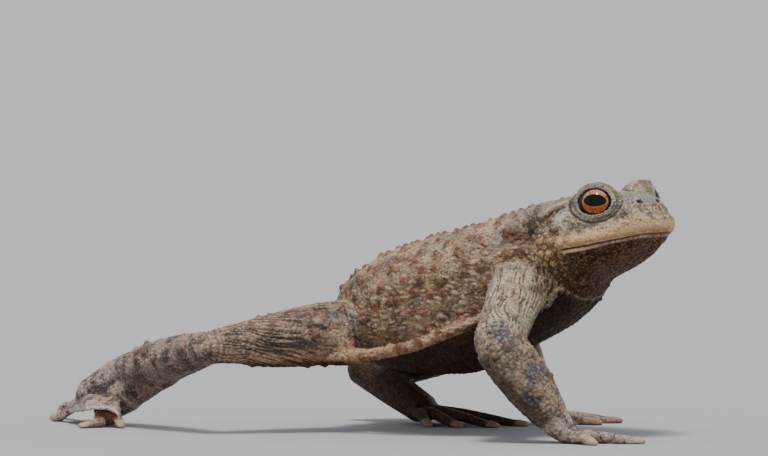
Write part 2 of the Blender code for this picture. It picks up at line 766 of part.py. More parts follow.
def cut_limbs(limbs):
    """Parts each limb at its joints."""
    cutters = []
    anchors = {}
    for side, arm, leg in (("right", FORE_RIGHT, HIND_RIGHT), ("left", FORE_LEFT, HIND_LEFT)):
        shoulder, elbow, wrist = (Vector(arm[key]) for key in ("shoulder", "elbow", "wrist"))
        hip, knee, heel, instep = (Vector(leg[key]) for key in ("hip", "knee", "heel", "instep"))
        for a, b, c in ((shoulder, elbow, wrist), (hip, knee, heel)):
            cutters.append(joint_cutter(a, b, c))
        cutters.append(slab("wrist", wrist - (wrist - elbow).normalized(), wrist - elbow, 5.5))
        cutters.append(slab("heel", heel, leg["heel cut"], 12.0))
        anchors["upper_arm_" + side] = shoulder.lerp(elbow, 0.62)
        anchors["forearm_" + side] = elbow.lerp(wrist, 0.45)
        anchors["wrist end " + side] = wrist + (wrist - elbow).normalized() * 1.5
        anchors["thigh_" + side] = hip.lerp(knee, 0.65)
        anchors["shank_" + side] = knee.lerp(heel, 0.5)
        anchors["heel end " + side] = heel.lerp(instep, 0.4)
    combine(limbs, cutters, "DIFFERENCE")
    pieces = part_by_anchor(limbs, anchors)
    for name in list(pieces):
        if " end " in name:
            bpy.data.objects.remove(pieces.pop(name), do_unlink=True)
    return pieces


def tree_of(made):
    corners = [vert.co.copy() for vert in made.data.vertices]
    return BVHTree.FromPolygons(corners, [tuple(face.vertices) for face in made.data.polygons])


def dome(place, normal, radius, spin):
    """A wart: a low dome with its widest ring under the skin."""
    bm = bmesh.new()
    turn = normal.to_track_quat("Z", "Y").to_matrix().to_4x4() @ Matrix.Rotation(spin, 4, "Z")
    rise = radius * (WART_RISE + WART_ROOT)
    at = Matrix.Translation(place - normal * radius * WART_ROOT)
    shape = Matrix.Diagonal((radius, radius, rise, 1.0))
    bmesh.ops.create_uvsphere(
        bm, u_segments=WART_SIDES, v_segments=WART_RINGS, radius=1.0, matrix=at @ turn @ shape,
    )
    return as_object(bm, "wart")


def strewn(made, spots, plan, neighbours, draw):
    """Adds warts over a node's skin to those it has, clear of one another and of its neighbours."""
    count, least, most, slope = plan
    made.data.calc_loop_triangles()
    corners = [vert.co for vert in made.data.vertices]
    faces = [face for face in made.data.polygons if face.normal.z > slope]
    areas = [face.area for face in faces]
    wanted = count + len(spots)
    for tries in range(count * 60):
        if len(spots) >= wanted:
            break
        face = draw.choices(faces, areas)[0]
        weights = [draw.random() for _ in face.vertices]
        place = sum((corners[i] * w for i, w in zip(face.vertices, weights)), Vector()) / sum(weights)
        radius = most - (most - least) * draw.random() ** 0.7
        if any((place - other).length < (radius + size) * 1.05 for other, _, size in spots):
            continue
        if neighbours.find_nearest(place)[3] < radius * 1.2 + GAP:
            continue
        spots.append((place, face.normal.copy(), radius))
    return spots


def flank_spots(skin):
    spots = []
    for x, lift, radius in FLANK_WARTS:
        for side in (1, -1):
            y, top, bottom = (read_off(TRUNK, x)[i] for i in (1, 3, 4))
            start = Vector((x, y, (top + bottom) / 2))
            angle = math.radians(lift)
            found = skin.ray_cast(start, Vector((0, side * math.cos(angle), math.sin(angle))))
            spots.append((found[0], found[1], radius))
    return spots


def jaw_spots(skin, frame):
    spots = []
    for x, z, radius in JAW_TUBERCLES:
        for side in (1, -1):
            start = frame @ Vector((x, 0.0, z))
            found = skin.ray_cast(start, frame.to_3x3() @ Vector((0, side, 0)))
            spots.append((found[0], found[1], radius))
    return spots


def add_warts(pieces, frame):
    draw = random.Random(WART_SEED)
    trees = {name: tree_of(made) for name, made in pieces.items()}
    for name, plan in WARTS.items():
        rest = [made for other, made in pieces.items() if other != name]
        corners = []
        faces = []
        for made in rest:
            first = len(corners)
            corners += [vert.co.copy() for vert in made.data.vertices]
            faces += [tuple(i + first for i in face.vertices) for face in made.data.polygons]
        neighbours = BVHTree.FromPolygons(corners, faces)
        spots = []
        if name == "torso":
            spots = flank_spots(trees[name])
        if name == "head":
            spots = jaw_spots(trees[name], frame)
        spots = [spot for spot in spots if neighbours.find_nearest(spot[0])[3] > spot[2] * 1.1 + GAP]
        strewn(pieces[name], spots, plan, neighbours, draw)
        domes = [dome(place, normal, radius, draw.random() * math.pi) for place, normal, radius in spots]
        combine(pieces[name], domes, "UNION")


def make_toad():
    frame = head_frame()
    form = whole_body(frame)
    coarse = fused(form.copy(), "body", BODY_GRAIN, 6, BODY_FACES)
    fine = fused(form, "head skin", BODY_GRAIN, 4, HEAD_SKIN_FACES)
    ahead = Vector((0.83, -0.08, 0.55)).normalized()
    neck = Vector((49.5, 0.6, 36.25))
    pieces = make_head(fine, frame, neck + ahead * GAP / 2, ahead)
    bpy.data.objects.remove(fine, do_unlink=True)
    trimmed(coarse, neck - ahead * GAP / 2, ahead)

    room = bmesh.new()
    trunk_forms(room, 1.2)
    inside = fused(room, "trunk room", BODY_GRAIN, 6, ROOM_FACES)
    outside = copied(inside, "trunk room and gap")
    for vert, normal in zip(outside.data.vertices, [v.normal.copy() for v in inside.data.vertices]):
        vert.co = vert.co + normal * GAP
    limbs = combine(copied(coarse, "limbs"), [outside], "DIFFERENCE")
    pieces.update(cut_limbs(limbs))
    pieces["torso"] = combine(coarse, [inside], "INTERSECT")
    pieces["torso"].name = "torso"

    pieces["hand_right"] = hand("hand_right", FORE_RIGHT, HAND_RIGHT)
    pieces["hand_left"] = hand("hand_left", FORE_LEFT, HAND_LEFT)
    pieces["foot_right"] = foot("foot_right", HIND_RIGHT, FOOT_RIGHT)
    pieces["foot_left"] = foot("foot_left", HIND_LEFT, FOOT_LEFT)
    for side, name in ((1, "eye_left"), (-1, "eye_right")):
        pieces[name] = eyeball(frame, side, name)
    add_warts(pieces, frame)
    return pieces


def finish(pieces):
    """Triangles, colours, metres, and the origin at the middle of the footprint."""
    low = Vector((1e9, 1e9, 0.0))
    high = -low
    for made in pieces.values():
        largest(made)
        for vert in made.data.vertices:
            for i in (0, 1):
                low[i] = min(low[i], vert.co[i])
                high[i] = max(high[i], vert.co[i])
    shift = (low + high) / 2
    for name, made in pieces.items():
        made.name = name
        made.data.name = name
        made.data.transform(Matrix.Scale(MM, 4) @ Matrix.Translation(-shift))
        made.data.shade_smooth()
        made.data.set_sharp_from_angle(angle=math.radians(50))
        tint = "limb"
        if name in ("torso", "head"):
            tint = "back"
        if name == "lower_jaw":
            tint = "throat"
        if name.startswith(("hand", "foot")):
            tint = "digit"
        if name.startswith("eye"):
            tint = "eye"
        paint(made, tint, 0.15 if tint == "eye" else 0.7)
    return shift


clear_scene()
toad = make_toad()
shift = finish(toad)
for name, made in sorted(toad.items()):
    print(name, face_count(made.data))
print("shift", [round(v, 3) for v in shift])
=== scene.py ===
import itertools
import math

import bmesh
import bpy
import numpy as np
from mathutils import Matrix, Vector, noise
from mathutils.bvhtree import BVHTree
from mathutils.kdtree import KDTree


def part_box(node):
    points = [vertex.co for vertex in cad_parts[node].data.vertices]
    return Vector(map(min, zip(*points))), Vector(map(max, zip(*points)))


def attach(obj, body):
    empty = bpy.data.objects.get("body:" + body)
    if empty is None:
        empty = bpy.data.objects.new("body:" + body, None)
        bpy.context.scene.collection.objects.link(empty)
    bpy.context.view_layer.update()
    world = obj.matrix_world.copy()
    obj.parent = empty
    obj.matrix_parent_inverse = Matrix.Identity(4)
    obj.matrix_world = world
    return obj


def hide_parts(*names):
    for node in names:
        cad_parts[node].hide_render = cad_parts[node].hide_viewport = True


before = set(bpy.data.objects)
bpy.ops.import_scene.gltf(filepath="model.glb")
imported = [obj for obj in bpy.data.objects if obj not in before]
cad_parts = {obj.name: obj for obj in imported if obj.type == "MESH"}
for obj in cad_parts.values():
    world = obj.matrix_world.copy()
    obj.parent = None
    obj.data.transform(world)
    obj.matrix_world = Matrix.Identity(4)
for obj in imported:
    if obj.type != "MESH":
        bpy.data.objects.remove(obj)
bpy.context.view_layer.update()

mm = 0.001
scene = bpy.context.scene
rng = np.random.default_rng(23)

# where the head sits, and how it is turned, in the toad's own frame
stance = {
    "headTurn": -11.0,            # degrees, to its right
    "headLift": 17.0,             # degrees, chin up
    "headAt": (50.0, 0.9, 38.25),
    "eyeAt": (13.4, 4.1),         # forward and up in the head's frame
    # which way the lids open and the pupils look there, on the left side (1) and the right (-1)
    "lidLook": {1: (0.56, 0.82, 0.12), -1: (0.34, 0.92, 0.15)},
    "pupilLook": {1: (0.3, 0.95, 0.09), -1: (0.455, 0.885, 0.09)},
}


def middleOf(name):
    low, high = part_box(name)
    return (low + high) / 2


headTurn = Matrix.Rotation(math.radians(stance["headTurn"]), 3, "Z")
headTurn = headTurn @ Matrix.Rotation(math.radians(-stance["headLift"]), 3, "Y")
eyesMiddle = (middleOf("eye_left") + middleOf("eye_right")) / 2
eyeForward = Vector((stance["eyeAt"][0], 0.0, stance["eyeAt"][1]))
headOrigin = eyesMiddle - headTurn @ eyeForward * mm
toadOrigin = headOrigin - Vector(stance["headAt"]) * mm
print("frame: head at", [round(v / mm, 2) for v in headOrigin])


def eyeTurn(side, look="lidLook"):
    x, y, z = stance[look][side]
    look = headTurn @ Vector((x, y * side, z))
    look.normalize()
    level = Vector((0, 0, 1)).cross(look).normalized()
    return Matrix((level, look.cross(level), look)).transposed()


def headPlace(x, y, z):
    return headOrigin + headTurn @ Vector((x, y, z)) * mm


# Small number helpers, all on whole arrays of points

def mirrored(places):
    # both sides of the body on the left one
    return np.stack((places[:, 0], np.abs(places[:, 1]), places[:, 2]), axis=1)


def smoothstep(low, high, x):
    t = np.clip((x - low) / (high - low), 0.0, 1.0)
    return t * t * (3 - 2 * t)


def hump(x, middle, width):
    return np.exp(-((x - middle) / width) ** 2)


def hashed(cells, seed):
    mixed = cells @ np.array((12.9898, 78.233, 37.719)) + seed * 17.31
    return np.mod(np.sin(mixed) * 43758.5453, 1.0)


def pebbles(points, size, seed):
    # distance to the nearest and the second nearest jittered grain, in grains
    p = points / size
    base = np.floor(p)
    near = np.full(len(p), 9.0)
    second = np.full(len(p), 9.0)
    for step in itertools.product((-1, 0, 1), repeat=3):
        cell = base + np.array(step)
        jitter = np.stack([hashed(cell, seed + k * 5.7) for k in range(3)], axis=1)
        away = np.linalg.norm(cell + jitter - p, axis=1)
        second = np.minimum(second, np.maximum(near, away))
        near = np.minimum(near, away)
    return near, second


def cloud(points, size, seed):
    rows = (points / size + seed * 7.7).tolist()
    return np.array([noise.noise(row) for row in rows])


def alongPath(points, path):
    # distance to a path and how far along it the nearest place is, 0 to 1
    best = np.full(len(points), 1e9)
    share = np.zeros(len(points))
    path = np.array(path, float)
    spans = len(path) - 1
    for i in range(spans):
        a, b = path[i], path[i + 1]
        line = b - a
        t = np.clip((points - a) @ line / (line @ line), 0, 1)
        away = np.linalg.norm(points - a - t[:, None] * line, axis=1)
        closer = away < best
        best[closer] = away[closer]
        share[closer] = (i + t[closer]) / spans
    return best, share


# The raw skin: the flesh solids grown until their cuts close, fused and drawn back

skinForm = {
    "grow": 0.25,                 # closes the cuts between the solids
    "grain": 0.27,                # voxel of the first skin
    "quickGrain": 0.45,
    "eyeFill": 3.9,               # closes the sockets behind the eyeballs
    "nostrilFill": 0.75,
    "nostrilAt": (20.1, 2.05, 1.9),
    "easeRounds": 4,
    "seamRounds": 26,
    "seamReach": 1.1,             # how near two solids lie along a cut
    "mostTriangles": 196000,
    "headCare": 0.12,             # how far the head is spared when the skin is thinned
}
hindFoot = {
    # of the right hind foot, in the toad's own frame
    "secondToe": ((-46.5, -17.2, 5.0), (-45.5, -26.5, 0.8)),
    "secondBend": (2.8, -0.6, -1.8),      # it lies along the floor, bent in under the web
    "firstToe": ((-44.0, -16.8, 5.2), (-39.5, -23.5, 0.8)),
    "firstShift": (1.1, 0.55, 0.0),
    "toeReach": (1.5, 2.5),
    "webEdge": (
        (-46.2, -23.7, 3.3), (-44.1, -23.5, 3.65), (-42.3, -23.3, 3.7), (-40.7, -23.2, 3.4),
        (-39.2, -23.3, 2.6), (-38.2, -23.5, 1.4),
    ),
    "webRoot": (
        (-47.8, -17.8, 6.2), (-45.0, -17.6, 6.2), (-42.8, -18.0, 5.8), (-41.0, -18.8, 5.1),
        (-39.8, -20.3, 3.9), (-38.9, -21.8, 2.4),
    ),
    "sideEdge": ((-59.6, -10.6, 1.5), (-55.6, -14.2, 1.9), (-51.8, -18.2, 2.4), (-46.2, -23.7, 3.3)),
    "sideRoot": ((-58.6, -10.2, 3.0), (-54.6, -12.4, 5.0), (-51.0, -14.6, 6.0), (-47.8, -17.8, 6.4)),
    "thick": 0.36,
    "rimThick": 0.55,
    "webRows": 6,
    "webSag": (-0.25, -0.5, 0.45),
    "webOut": (0.3, -0.45, 0.84),         # the way its upper face looks
    "ball": ((-43.0, -20.3, 1.9), (3.1, 2.1, 1.9)),
}
fleshNames = sorted(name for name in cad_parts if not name.startswith("eye"))


def mergedCopy(name):
    bm = bmesh.new()
    bm.from_mesh(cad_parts[name].data)
    bmesh.ops.remove_doubles(bm, verts=bm.verts, dist=0.002 * mm)
    bm.normal_update()
    return bm


def newObject(name, bm):
    mesh = bpy.data.meshes.new(name)
    bm.to_mesh(mesh)
    bm.free()
    made = bpy.data.objects.new(name, mesh)
    scene.collection.objects.link(made)
    return made


def applied(made):
    graph = bpy.context.evaluated_depsgraph_get()
    mesh = bpy.data.meshes.new_from_object(made.evaluated_get(graph))
    made.modifiers.clear()
    old = made.data
    made.data = mesh
    bpy.data.meshes.remove(old)
    return made


def bentToes(bm):
    # the first toe spread a little wider, the second bent in under the web
    for toe, move in (("firstToe", "firstShift"), ("secondToe", "secondBend")):
        start, end = (Vector(place) for place in hindFoot[toe])
        line = end - start
        for vert in bm.verts:
            place = (vert.co - toadOrigin) / mm
            share = (place - start).dot(line) / line.length_squared
            away = (place - start - line * min(max(share, 0), 1)).length
            low, high = hindFoot["toeReach"]
            near = 1 - float(smoothstep(low, high, away))
            if move == "secondBend":
                pull = float(smoothstep(0.15, 0.5, share) * (1 - smoothstep(0.55, 1.0, share)))
            else:
                pull = float(smoothstep(0.35, 1.0, share))
            vert.co += Vector(hindFoot[move]) * near * pull * mm


def addWeb(whole, edge, root):
    # a thin sheet from the toes' backs down to its free edge, thicker along that edge
    rows = []
    for k in range(hindFoot["webRows"]):
        share = k / (hindFoot["webRows"] - 1)
        half = (hindFoot["thick"] if k else hindFoot["rimThick"]) / 2 + skinForm["grow"]
        row = [Vector(a).lerp(Vector(b), share) for a, b in zip(edge, root)]
        sag = Vector(hindFoot["webSag"]) * math.sin(math.pi * share)
        rows.append([(place + sag, half) for place in row])

    def corner(place, move):
        return whole.verts.new(toadOrigin + (place + move) * mm)

    def face(side):
        out = Vector(hindFoot["webOut"]) * side
        return [[corner(place, out * half) for place, half in row] for row in rows]

    top, low = face(1), face(-1)
    across, long = len(rows), len(rows[0])
    for k in range(across - 1):
        for i in range(long - 1):
            whole.faces.new((top[k][i], top[k][i + 1], top[k + 1][i + 1], top[k + 1][i]))
            whole.faces.new((low[k][i], low[k + 1][i], low[k + 1][i + 1], low[k][i + 1]))
    border = [(0, i) for i in range(long)] + [(k, long - 1) for k in range(1, across)]
    border += [(across - 1, i) for i in range(long - 2, -1, -1)] + [(k, 0) for k in range(across - 2, 0, -1)]
    for (k, i), (m, j) in zip(border, border[1:] + border[:1]):
        whole.faces.new((top[k][i], low[k][i], low[m][j], top[m][j]))


def gatherFlesh():
    whole = bmesh.new()
    for name in fleshNames:
        bm = mergedCopy(name)
        if name == "foot_right":
            bentToes(bm)
            bm.normal_update()
        for vert in bm.verts:
            vert.co += vert.normal * skinForm["grow"] * mm
        grown = bpy.data.meshes.new("grown")
        bm.to_mesh(grown)
        bm.free()
        whole.from_mesh(grown)
        bpy.data.meshes.remove(grown)
    addWeb(whole, hindFoot["webEdge"], hindFoot["webRoot"])
    addWeb(whole, hindFoot["sideEdge"], hindFoot["sideRoot"])
    place, size = hindFoot["ball"]
    bmesh.ops.create_icosphere(
        whole, subdivisions=3, radius=mm,
        matrix=Matrix.Translation(toadOrigin + Vector(place) * mm) @ Matrix.Diagonal((*size, 1.0)),
    )
    bmesh.ops.recalc_face_normals(whole, faces=whole.faces)
    for side, name in ((1, "eye_left"), (-1, "eye_right")):
        bmesh.ops.create_icosphere(
            whole, subdivisions=4, radius=skinForm["eyeFill"] * mm, matrix=Matrix.Translation(middleOf(name)),
        )
        x, y, z = skinForm["nostrilAt"]
        bmesh.ops.create_icosphere(
            whole, subdivisions=3, radius=skinForm["nostrilFill"] * mm,
            matrix=Matrix.Translation(headPlace(x, y * side, z)),
        )
    return newObject("skin", whole)


def keepLargest(made):
    bm = bmesh.new()
    bm.from_mesh(made.data)
    seen = set()
    largest = []
    for first in bm.verts:
        if first in seen:
            continue
        seen.add(first)
        group = [first]
        for reached in group:
            for edge in reached.link_edges:
                other = edge.other_vert(reached)
                if other not in seen:
                    seen.add(other)
                    group.append(other)
        if len(group) > len(largest):
            largest = group
    kept = set(largest)
    bmesh.ops.delete(bm, geom=[vert for vert in bm.verts if vert not in kept], context="VERTS")
    bm.to_mesh(made.data)
    bm.free()


def readPoints(mesh):
    flat = np.zeros(len(mesh.vertices) * 3)
    mesh.vertices.foreach_get("co", flat)
    return flat.reshape(-1, 3)


def readNormals(mesh):
    flat = np.zeros(len(mesh.vertices) * 3)
    mesh.vertices.foreach_get("normal", flat)
    return flat.reshape(-1, 3)


def writePoints(mesh, points):
    mesh.vertices.foreach_set("co", points.ravel())
    mesh.update()


class Spread:
    # averages values over the mesh's edges

    def __init__(self, mesh):
        ends = np.zeros(len(mesh.edges) * 2, np.int64)
        mesh.edges.foreach_get("vertices", ends)
        self.a, self.b = ends.reshape(-1, 2).T
        self.count = len(mesh.vertices)
        self.degree = np.bincount(ends, minlength=self.count)

    def once(self, values):
        flat = values.reshape(self.count, -1)
        mean = np.empty_like(flat)
        for k in range(flat.shape[1]):
            total = np.bincount(self.a, flat[self.b, k], self.count)
            total += np.bincount(self.b, flat[self.a, k], self.count)
            mean[:, k] = total / self.degree
        return mean.reshape(values.shape)

    def ease(self, values, rounds, strength=0.5):
        for _ in range(rounds):
            values = values + (self.once(values) - values) * strength
        return values


def rawSkin():
    made = gatherFlesh()
    fuse = made.modifiers.new("fuse", "REMESH")
    fuse.mode = "VOXEL"
    fuse.voxel_size = skinForm["grain"] * mm
    fuse.use_smooth_shade = True
    applied(made)
    keepLargest(made)
    mesh = made.data
    spread = Spread(mesh)
    points = spread.ease(readPoints(mesh), skinForm["easeRounds"])
    writePoints(mesh, points)
    points = points - spread.ease(readNormals(mesh), 2) * skinForm["grow"] * mm
    writePoints(mesh, points)
    return made, spread


def labelSkin(points):
    # which solid each point of the skin lies on, and how near it lies to a cut
    corners = []
    faces = []
    owners = []
    for index, name in enumerate(fleshNames):
        bm = mergedCopy(name)
        bmesh.ops.triangulate(bm, faces=bm.faces)
        bm.verts.index_update()
        first = len(corners)
        corners += [vert.co.copy() for vert in bm.verts]
        for face in bm.faces:
            faces.append([vert.index + first for vert in face.verts])
            owners.append(index)
        bm.free()
    tree = BVHTree.FromPolygons(corners, faces)
    label = np.zeros(len(points), np.int64)
    seam = np.zeros(len(points))
    reach = skinForm["seamReach"] * mm
    for i, place in enumerate(points.tolist()):
        found = tree.find_nearest_range(place, reach)
        if not found:
            label[i] = owners[tree.find_nearest(place)[2]]
            continue
        nearest = {}
        for _, _, face, away in found:
            owner = owners[face]
            if away < nearest.get(owner, 1.0):
                nearest[owner] = away
        order = sorted(nearest, key=nearest.get)
        label[i] = order[0]
        if len(order) > 1:
            seam[i] = 1 - nearest[order[1]] / reach
    return label, seam


skin, spread = rawSkin()
points = readPoints(skin.data)
print("raw skin:", len(points), "points")
label, seam = labelSkin(points)
seam = spread.ease(smoothstep(0.0, 0.45, seam), 3)
points = spread.ease(points, skinForm["seamRounds"], (seam * 0.7)[:, None])
writePoints(skin.data, points)
# softer lips and hips, and small corrections of the outline
trims = {
    "lipRounds": 40,
    "lipBand": (-3.2, 2.6),       # height and width
    "lipsFrom": (6.5, 9.0),       # forward, where they fade in
    "hipRounds": 70,
    "hip": ((10.8, 15.2, 19.8), 4.4),
    # head frame, both sides: place, reach, how far out
    "head": (
        ((22.6, 0.0, -0.6), 3.6, -0.55), ((21.6, 0.0, -6.2), 4.6, -0.95), ((16.5, 0.0, -9.4), 4.5, -0.5),
        ((12.0, 9.0, -4.6), 2.0, -0.25), ((17.5, 7.0, -4.6), 2.2, -0.3),
    ),
    # toad frame, both sides
    "body": (((3.6, 7.0, 29.6), 4.6, -0.95), ((0.0, 0.0, 30.0), 4.0, -0.5)),
}


def trimmed(places, out):
    local = (places - np.array(headOrigin)) @ np.array(headTurn) / mm
    body = (places - np.array(toadOrigin)) / mm
    face = np.isin(label, (fleshNames.index("head"), fleshNames.index("lower_jaw")))
    lips = hump(local[:, 2], *trims["lipBand"]) * smoothstep(*trims["lipsFrom"], local[:, 0]) * face
    places = spread.ease(places, trims["lipRounds"], (lips * 0.6)[:, None])
    place, reach = trims["hip"]
    hip = smoothstep(reach * 1.3, reach * 0.5, np.linalg.norm(mirrored(body) - np.array(place), axis=1))
    places = spread.ease(places, trims["hipRounds"], (hip * 0.7)[:, None])
    move = np.zeros(len(places))
    for space, entries in ((local, trims["head"]), (body, trims["body"])):
        for place, reach, shift in entries:
            away = np.linalg.norm(mirrored(space) - np.array(place), axis=1)
            move += shift * hump(away, 0.0, reach)
    return places + out * move[:, None] * mm


normals = spread.ease(readNormals(skin.data), 4)
points = trimmed(points, normals)
writePoints(skin.data, points)
normals = spread.ease(readNormals(skin.data), 4)
normals /= np.linalg.norm(normals, axis=1)[:, None]
print("cuts closed")


# Where every point lies, for the modelling and for the colours

def onSolids(*starts):
    chosen = [i for i, name in enumerate(fleshNames) if name.startswith(starts)]
    return spread.ease(np.isin(label, chosen).astype(float), 14)


toad = (points - np.array(toadOrigin)) / mm
head = (points - np.array(headOrigin)) @ np.array(headTurn) / mm
onHead = onSolids("head", "lower_jaw")
onTorso = onSolids("torso")
onLimb = onSolids("upper_arm", "forearm", "thigh", "shank")
onDigit = onSolids("hand", "foot")
across = np.abs(head[:, 1])
rise = normals[:, 2]


# The line of the mouth and its lips

mouth = {
    # forward and height
    "line": ((6.8, -3.15), (11.0, -3.65), (15.0, -3.9), (19.0, -4.05), (21.5, -4.05), (23.0, -3.9)),
    "grooveWidth": 0.2,
    "grooveDepth": 0.38,
    "upperLip": (1.15, 0.9, 0.26),    # height over the line, its width, how far it swells
    "lowerLip": (-0.42, 0.3, 0.1),
}


def mouthShape():
    line = np.array(mouth["line"])
    over = head[:, 2] - np.interp(head[:, 0], line[:, 0], line[:, 1])
    here = smoothstep(6.0, 7.6, head[:, 0]) * smoothstep(0.5, 0.9, onHead)
    out = -mouth["grooveDepth"] * hump(over, 0.0, mouth["grooveWidth"])
    for height, width, swell in (mouth["upperLip"], mouth["lowerLip"]):
        out = out + swell * hump(over, height, width)
    return over, here, out * here


overMouth, nearMouth, mouthOut = mouthShape()


# Lids, ear, gland behind the eye, nostrils

lids = {
    "opening": (3.68, 2.75),      # half length, half height
    "backing": 3.5,               # radius of the skin behind the eyeball
    "edge": 4.14,                 # radius of the lids' edge, just over the eyeball
    "slope": (1.35, 1.25),        # how far out the lid goes on rising, and how far it rises
    "beads": 0.5,
    "beadHeight": 0.15,
    "paleRing": (0.36, 0.7),      # mm outside the opening where it starts to fade, and where it ends
    # the dark band along the lower lid is partly dark skin, partly painted shade
    "darkBand": (0.75, 0.6),      # along the lower lid
    "creaseAt": 1.5,
    "creaseDepth": 0.16,
    "sharpen": (-0.16, 0.14),     # points this near the oval are drawn onto it
}
ear = {"at": (7.5, 3.2), "size": (1.95, 1.0), "lean": 40.0, "grooves": (1.5, 2.2), "grooveDepth": 0.13}
gland = {
    "line": ((9.0, 9.0, 6.0), (5.5, 10.4, 5.8), (1.0, 11.6, 5.0), (-3.5, 12.6, 3.4), (-7.0, 13.4, 1.2)),
    "radius": 3.2,
    "pores": 1.3,
    "poreDepth": 0.16,
}
nostrils = {"at": (20.45, 3.15, 2.6), "along": (0.1, 0.98, 0.12), "size": (0.8, 0.42), "depth": 0.6}
ridges = {
    # paths in the head's frame, then width and height
    "browBack": (((9.4, 10.0, 6.1), (5.4, 12.2, 5.4), (2.8, 13.3, 4.4)), 0.62, 0.5),
}


def eyeSpace(side):
    centre = np.array(middleOf("eye_left" if side > 0 else "eye_right"))
    return (points - centre) @ np.array(eyeTurn(side)) / mm


def outsideLids(local):
    long, high = lids["opening"]
    flat = np.hypot(local[:, 0], local[:, 1])
    share = np.hypot(local[:, 0] / long, local[:, 1] / high)
    return flat * (1 - 1 / np.maximum(share, 0.05))       # mm outside the opening


def lidShape():
    out = np.zeros(len(points))
    pale, dark, upperSkin, opening = (np.zeros(len(points)) for _ in range(4))
    for side in (1, -1):
        local = eyeSpace(side)
        away = outsideLids(local)
        front = smoothstep(0.0, 0.8, local[:, 2]) * (local[:, 2] < 6)
        upper = smoothstep(-0.8, 1.0, local[:, 1])
        near, _ = pebbles(points / mm, lids["beads"], 3.0 + side)
        bead = lids["beadHeight"] * (1 - near) * smoothstep(0.6, 1.1, away) * smoothstep(3.6, 2.2, away)
        crease = -lids["creaseDepth"] * hump(away, lids["creaseAt"], 0.24) * (1 - upper)
        out += (bead * (0.25 + 0.75 * upper) + crease) * front
        ring = smoothstep(lids["paleRing"][1], lids["paleRing"][0], away) * upper
        ring = np.maximum(ring, hump(away, 0.12, 0.2) * (1 - upper))
        pale = np.maximum(pale, ring * (away > -0.4) * front)
        # dark along the lids and in the crease: partly dark skin, partly painted shade in the crease
        band = np.maximum(hump(away, *lids["darkBand"]) * (1 - upper), hump(away, lids["creaseAt"], 0.3))
        dark = np.maximum(dark, band * front * (1 - 0.5 * upper))
        onLid = smoothstep(4.2, 3.0, away) * smoothstep(0.4, 0.8, away)
        upperSkin = np.maximum(upperSkin, onLid * upper * front)
        opening = np.maximum(opening, smoothstep(0.1, -0.25, away) * front)
    return out, pale, dark, upperSkin, opening


def crispLids(places):
    # the lids lie close on the eyeball and end in a clean oval, and the skin inside it lies well behind
    for side in (1, -1):
        turn = np.array(eyeTurn(side))
        centre = np.array(middleOf("eye_left" if side > 0 else "eye_right"))
        local = (places - centre) @ turn / mm
        away = outsideLids(local)
        radius = np.linalg.norm(local, axis=1)
        front = (local[:, 2] > 0.2) & (radius < 7)
        reach, rise = lids["slope"]
        inner, outer = lids["sharpen"]
        lid = front & (away > inner) & (away < reach)
        inside = front & (away <= inner)
        edge = lid & (away < outer)
        most = lids["edge"] + rise * smoothstep(-0.1, reach, away)
        least = lids["edge"] + 0.3 * smoothstep(0.1, 0.9, away)
        wanted = np.clip(radius, least, np.maximum(most, least))
        fade = smoothstep(0.2, 0.9, local[:, 2])
        local[lid] *= (1 + (wanted[lid] / radius[lid] - 1) * fade[lid])[:, None]
        local[inside] *= (lids["backing"] / radius[inside])[:, None]
        flat = np.hypot(local[edge, 0], local[edge, 1])
        now = outsideLids(local[edge])
        local[edge, :2] *= (1 - now / flat)[:, None]
        flat = np.hypot(local[edge, 0], local[edge, 1])
        local[edge, 2] = np.sqrt(lids["edge"] ** 2 - flat ** 2)
        moved = inside | lid
        places[moved] = (local[moved] @ turn.T) * mm + centre
    return places


def earShape():
    x, z = ear["at"]
    turn = math.radians(ear["lean"])
    dx, dz = head[:, 0] - x, head[:, 2] - z
    u = dx * math.cos(turn) + dz * math.sin(turn)
    v = -dx * math.sin(turn) + dz * math.cos(turn)
    share = np.hypot(u / ear["size"][0], v / ear["size"][1])
    here = smoothstep(8.0, 9.5, across) * smoothstep(0.4, 0.8, onHead)
    inside = smoothstep(1.2, 0.85, share) * here
    lines = sum(hump(v, place, 0.16) for place in ear["grooves"]) * hump(u, -0.3, 2.0) * here
    return -ear["grooveDepth"] * lines - 0.1 * inside, inside, np.clip(lines, 0, 1)


def ridgeShape():
    out = np.zeros(len(points))
    mark = np.zeros(len(points))
    for path, width, height in ridges.values():
        away, share = alongPath(mirroredHead, path)
        body = hump(away, 0.0, width) * smoothstep(0.0, 0.12, share) * smoothstep(1.0, 0.8, share)
        out = np.maximum(out, height * body)
        mark = np.maximum(mark, body)
    return out, mark


def glandShape():
    away, _ = alongPath(mirroredHead, gland["line"])
    inside = smoothstep(gland["radius"] * 1.12, gland["radius"] * 0.72, away)
    inside *= smoothstep(-0.1, 0.35, rise)
    near, _ = pebbles(points / mm, gland["pores"], 9.0)
    return -gland["poreDepth"] * smoothstep(0.3, 0.08, near) * inside, inside


def nostrilShape():
    away = mirroredHead - np.array(nostrils["at"])
    along = away @ np.array(nostrils["along"])
    rest = np.sqrt(np.maximum((away ** 2).sum(axis=1) - along ** 2, 0))
    share = np.hypot(along / nostrils["size"][0], rest / nostrils["size"][1])
    # the opening, painted black later as shade in the hollow
    dark = smoothstep(1.2, 0.75, share)
    return 0.12 * hump(share, 1.7, 0.5) - nostrils["depth"] * dark, dark


mirroredHead = mirrored(head)
lidOut, lidPale, lidDark, lidUpper, eyeOpening = lidShape()
lidRim = np.clip(lidPale + lidDark + lidUpper, 0, 1)
earOut, earSkin, earGrooves = earShape()
ridgeOut, ridgeMark = ridgeShape()
glandOut, glandSkin = glandShape()
nostrilOut, nostrilHollowShade = nostrilShape()
print("head marked")


# Limbs: loose skin in fine lengthwise wrinkles, folds inside the bends

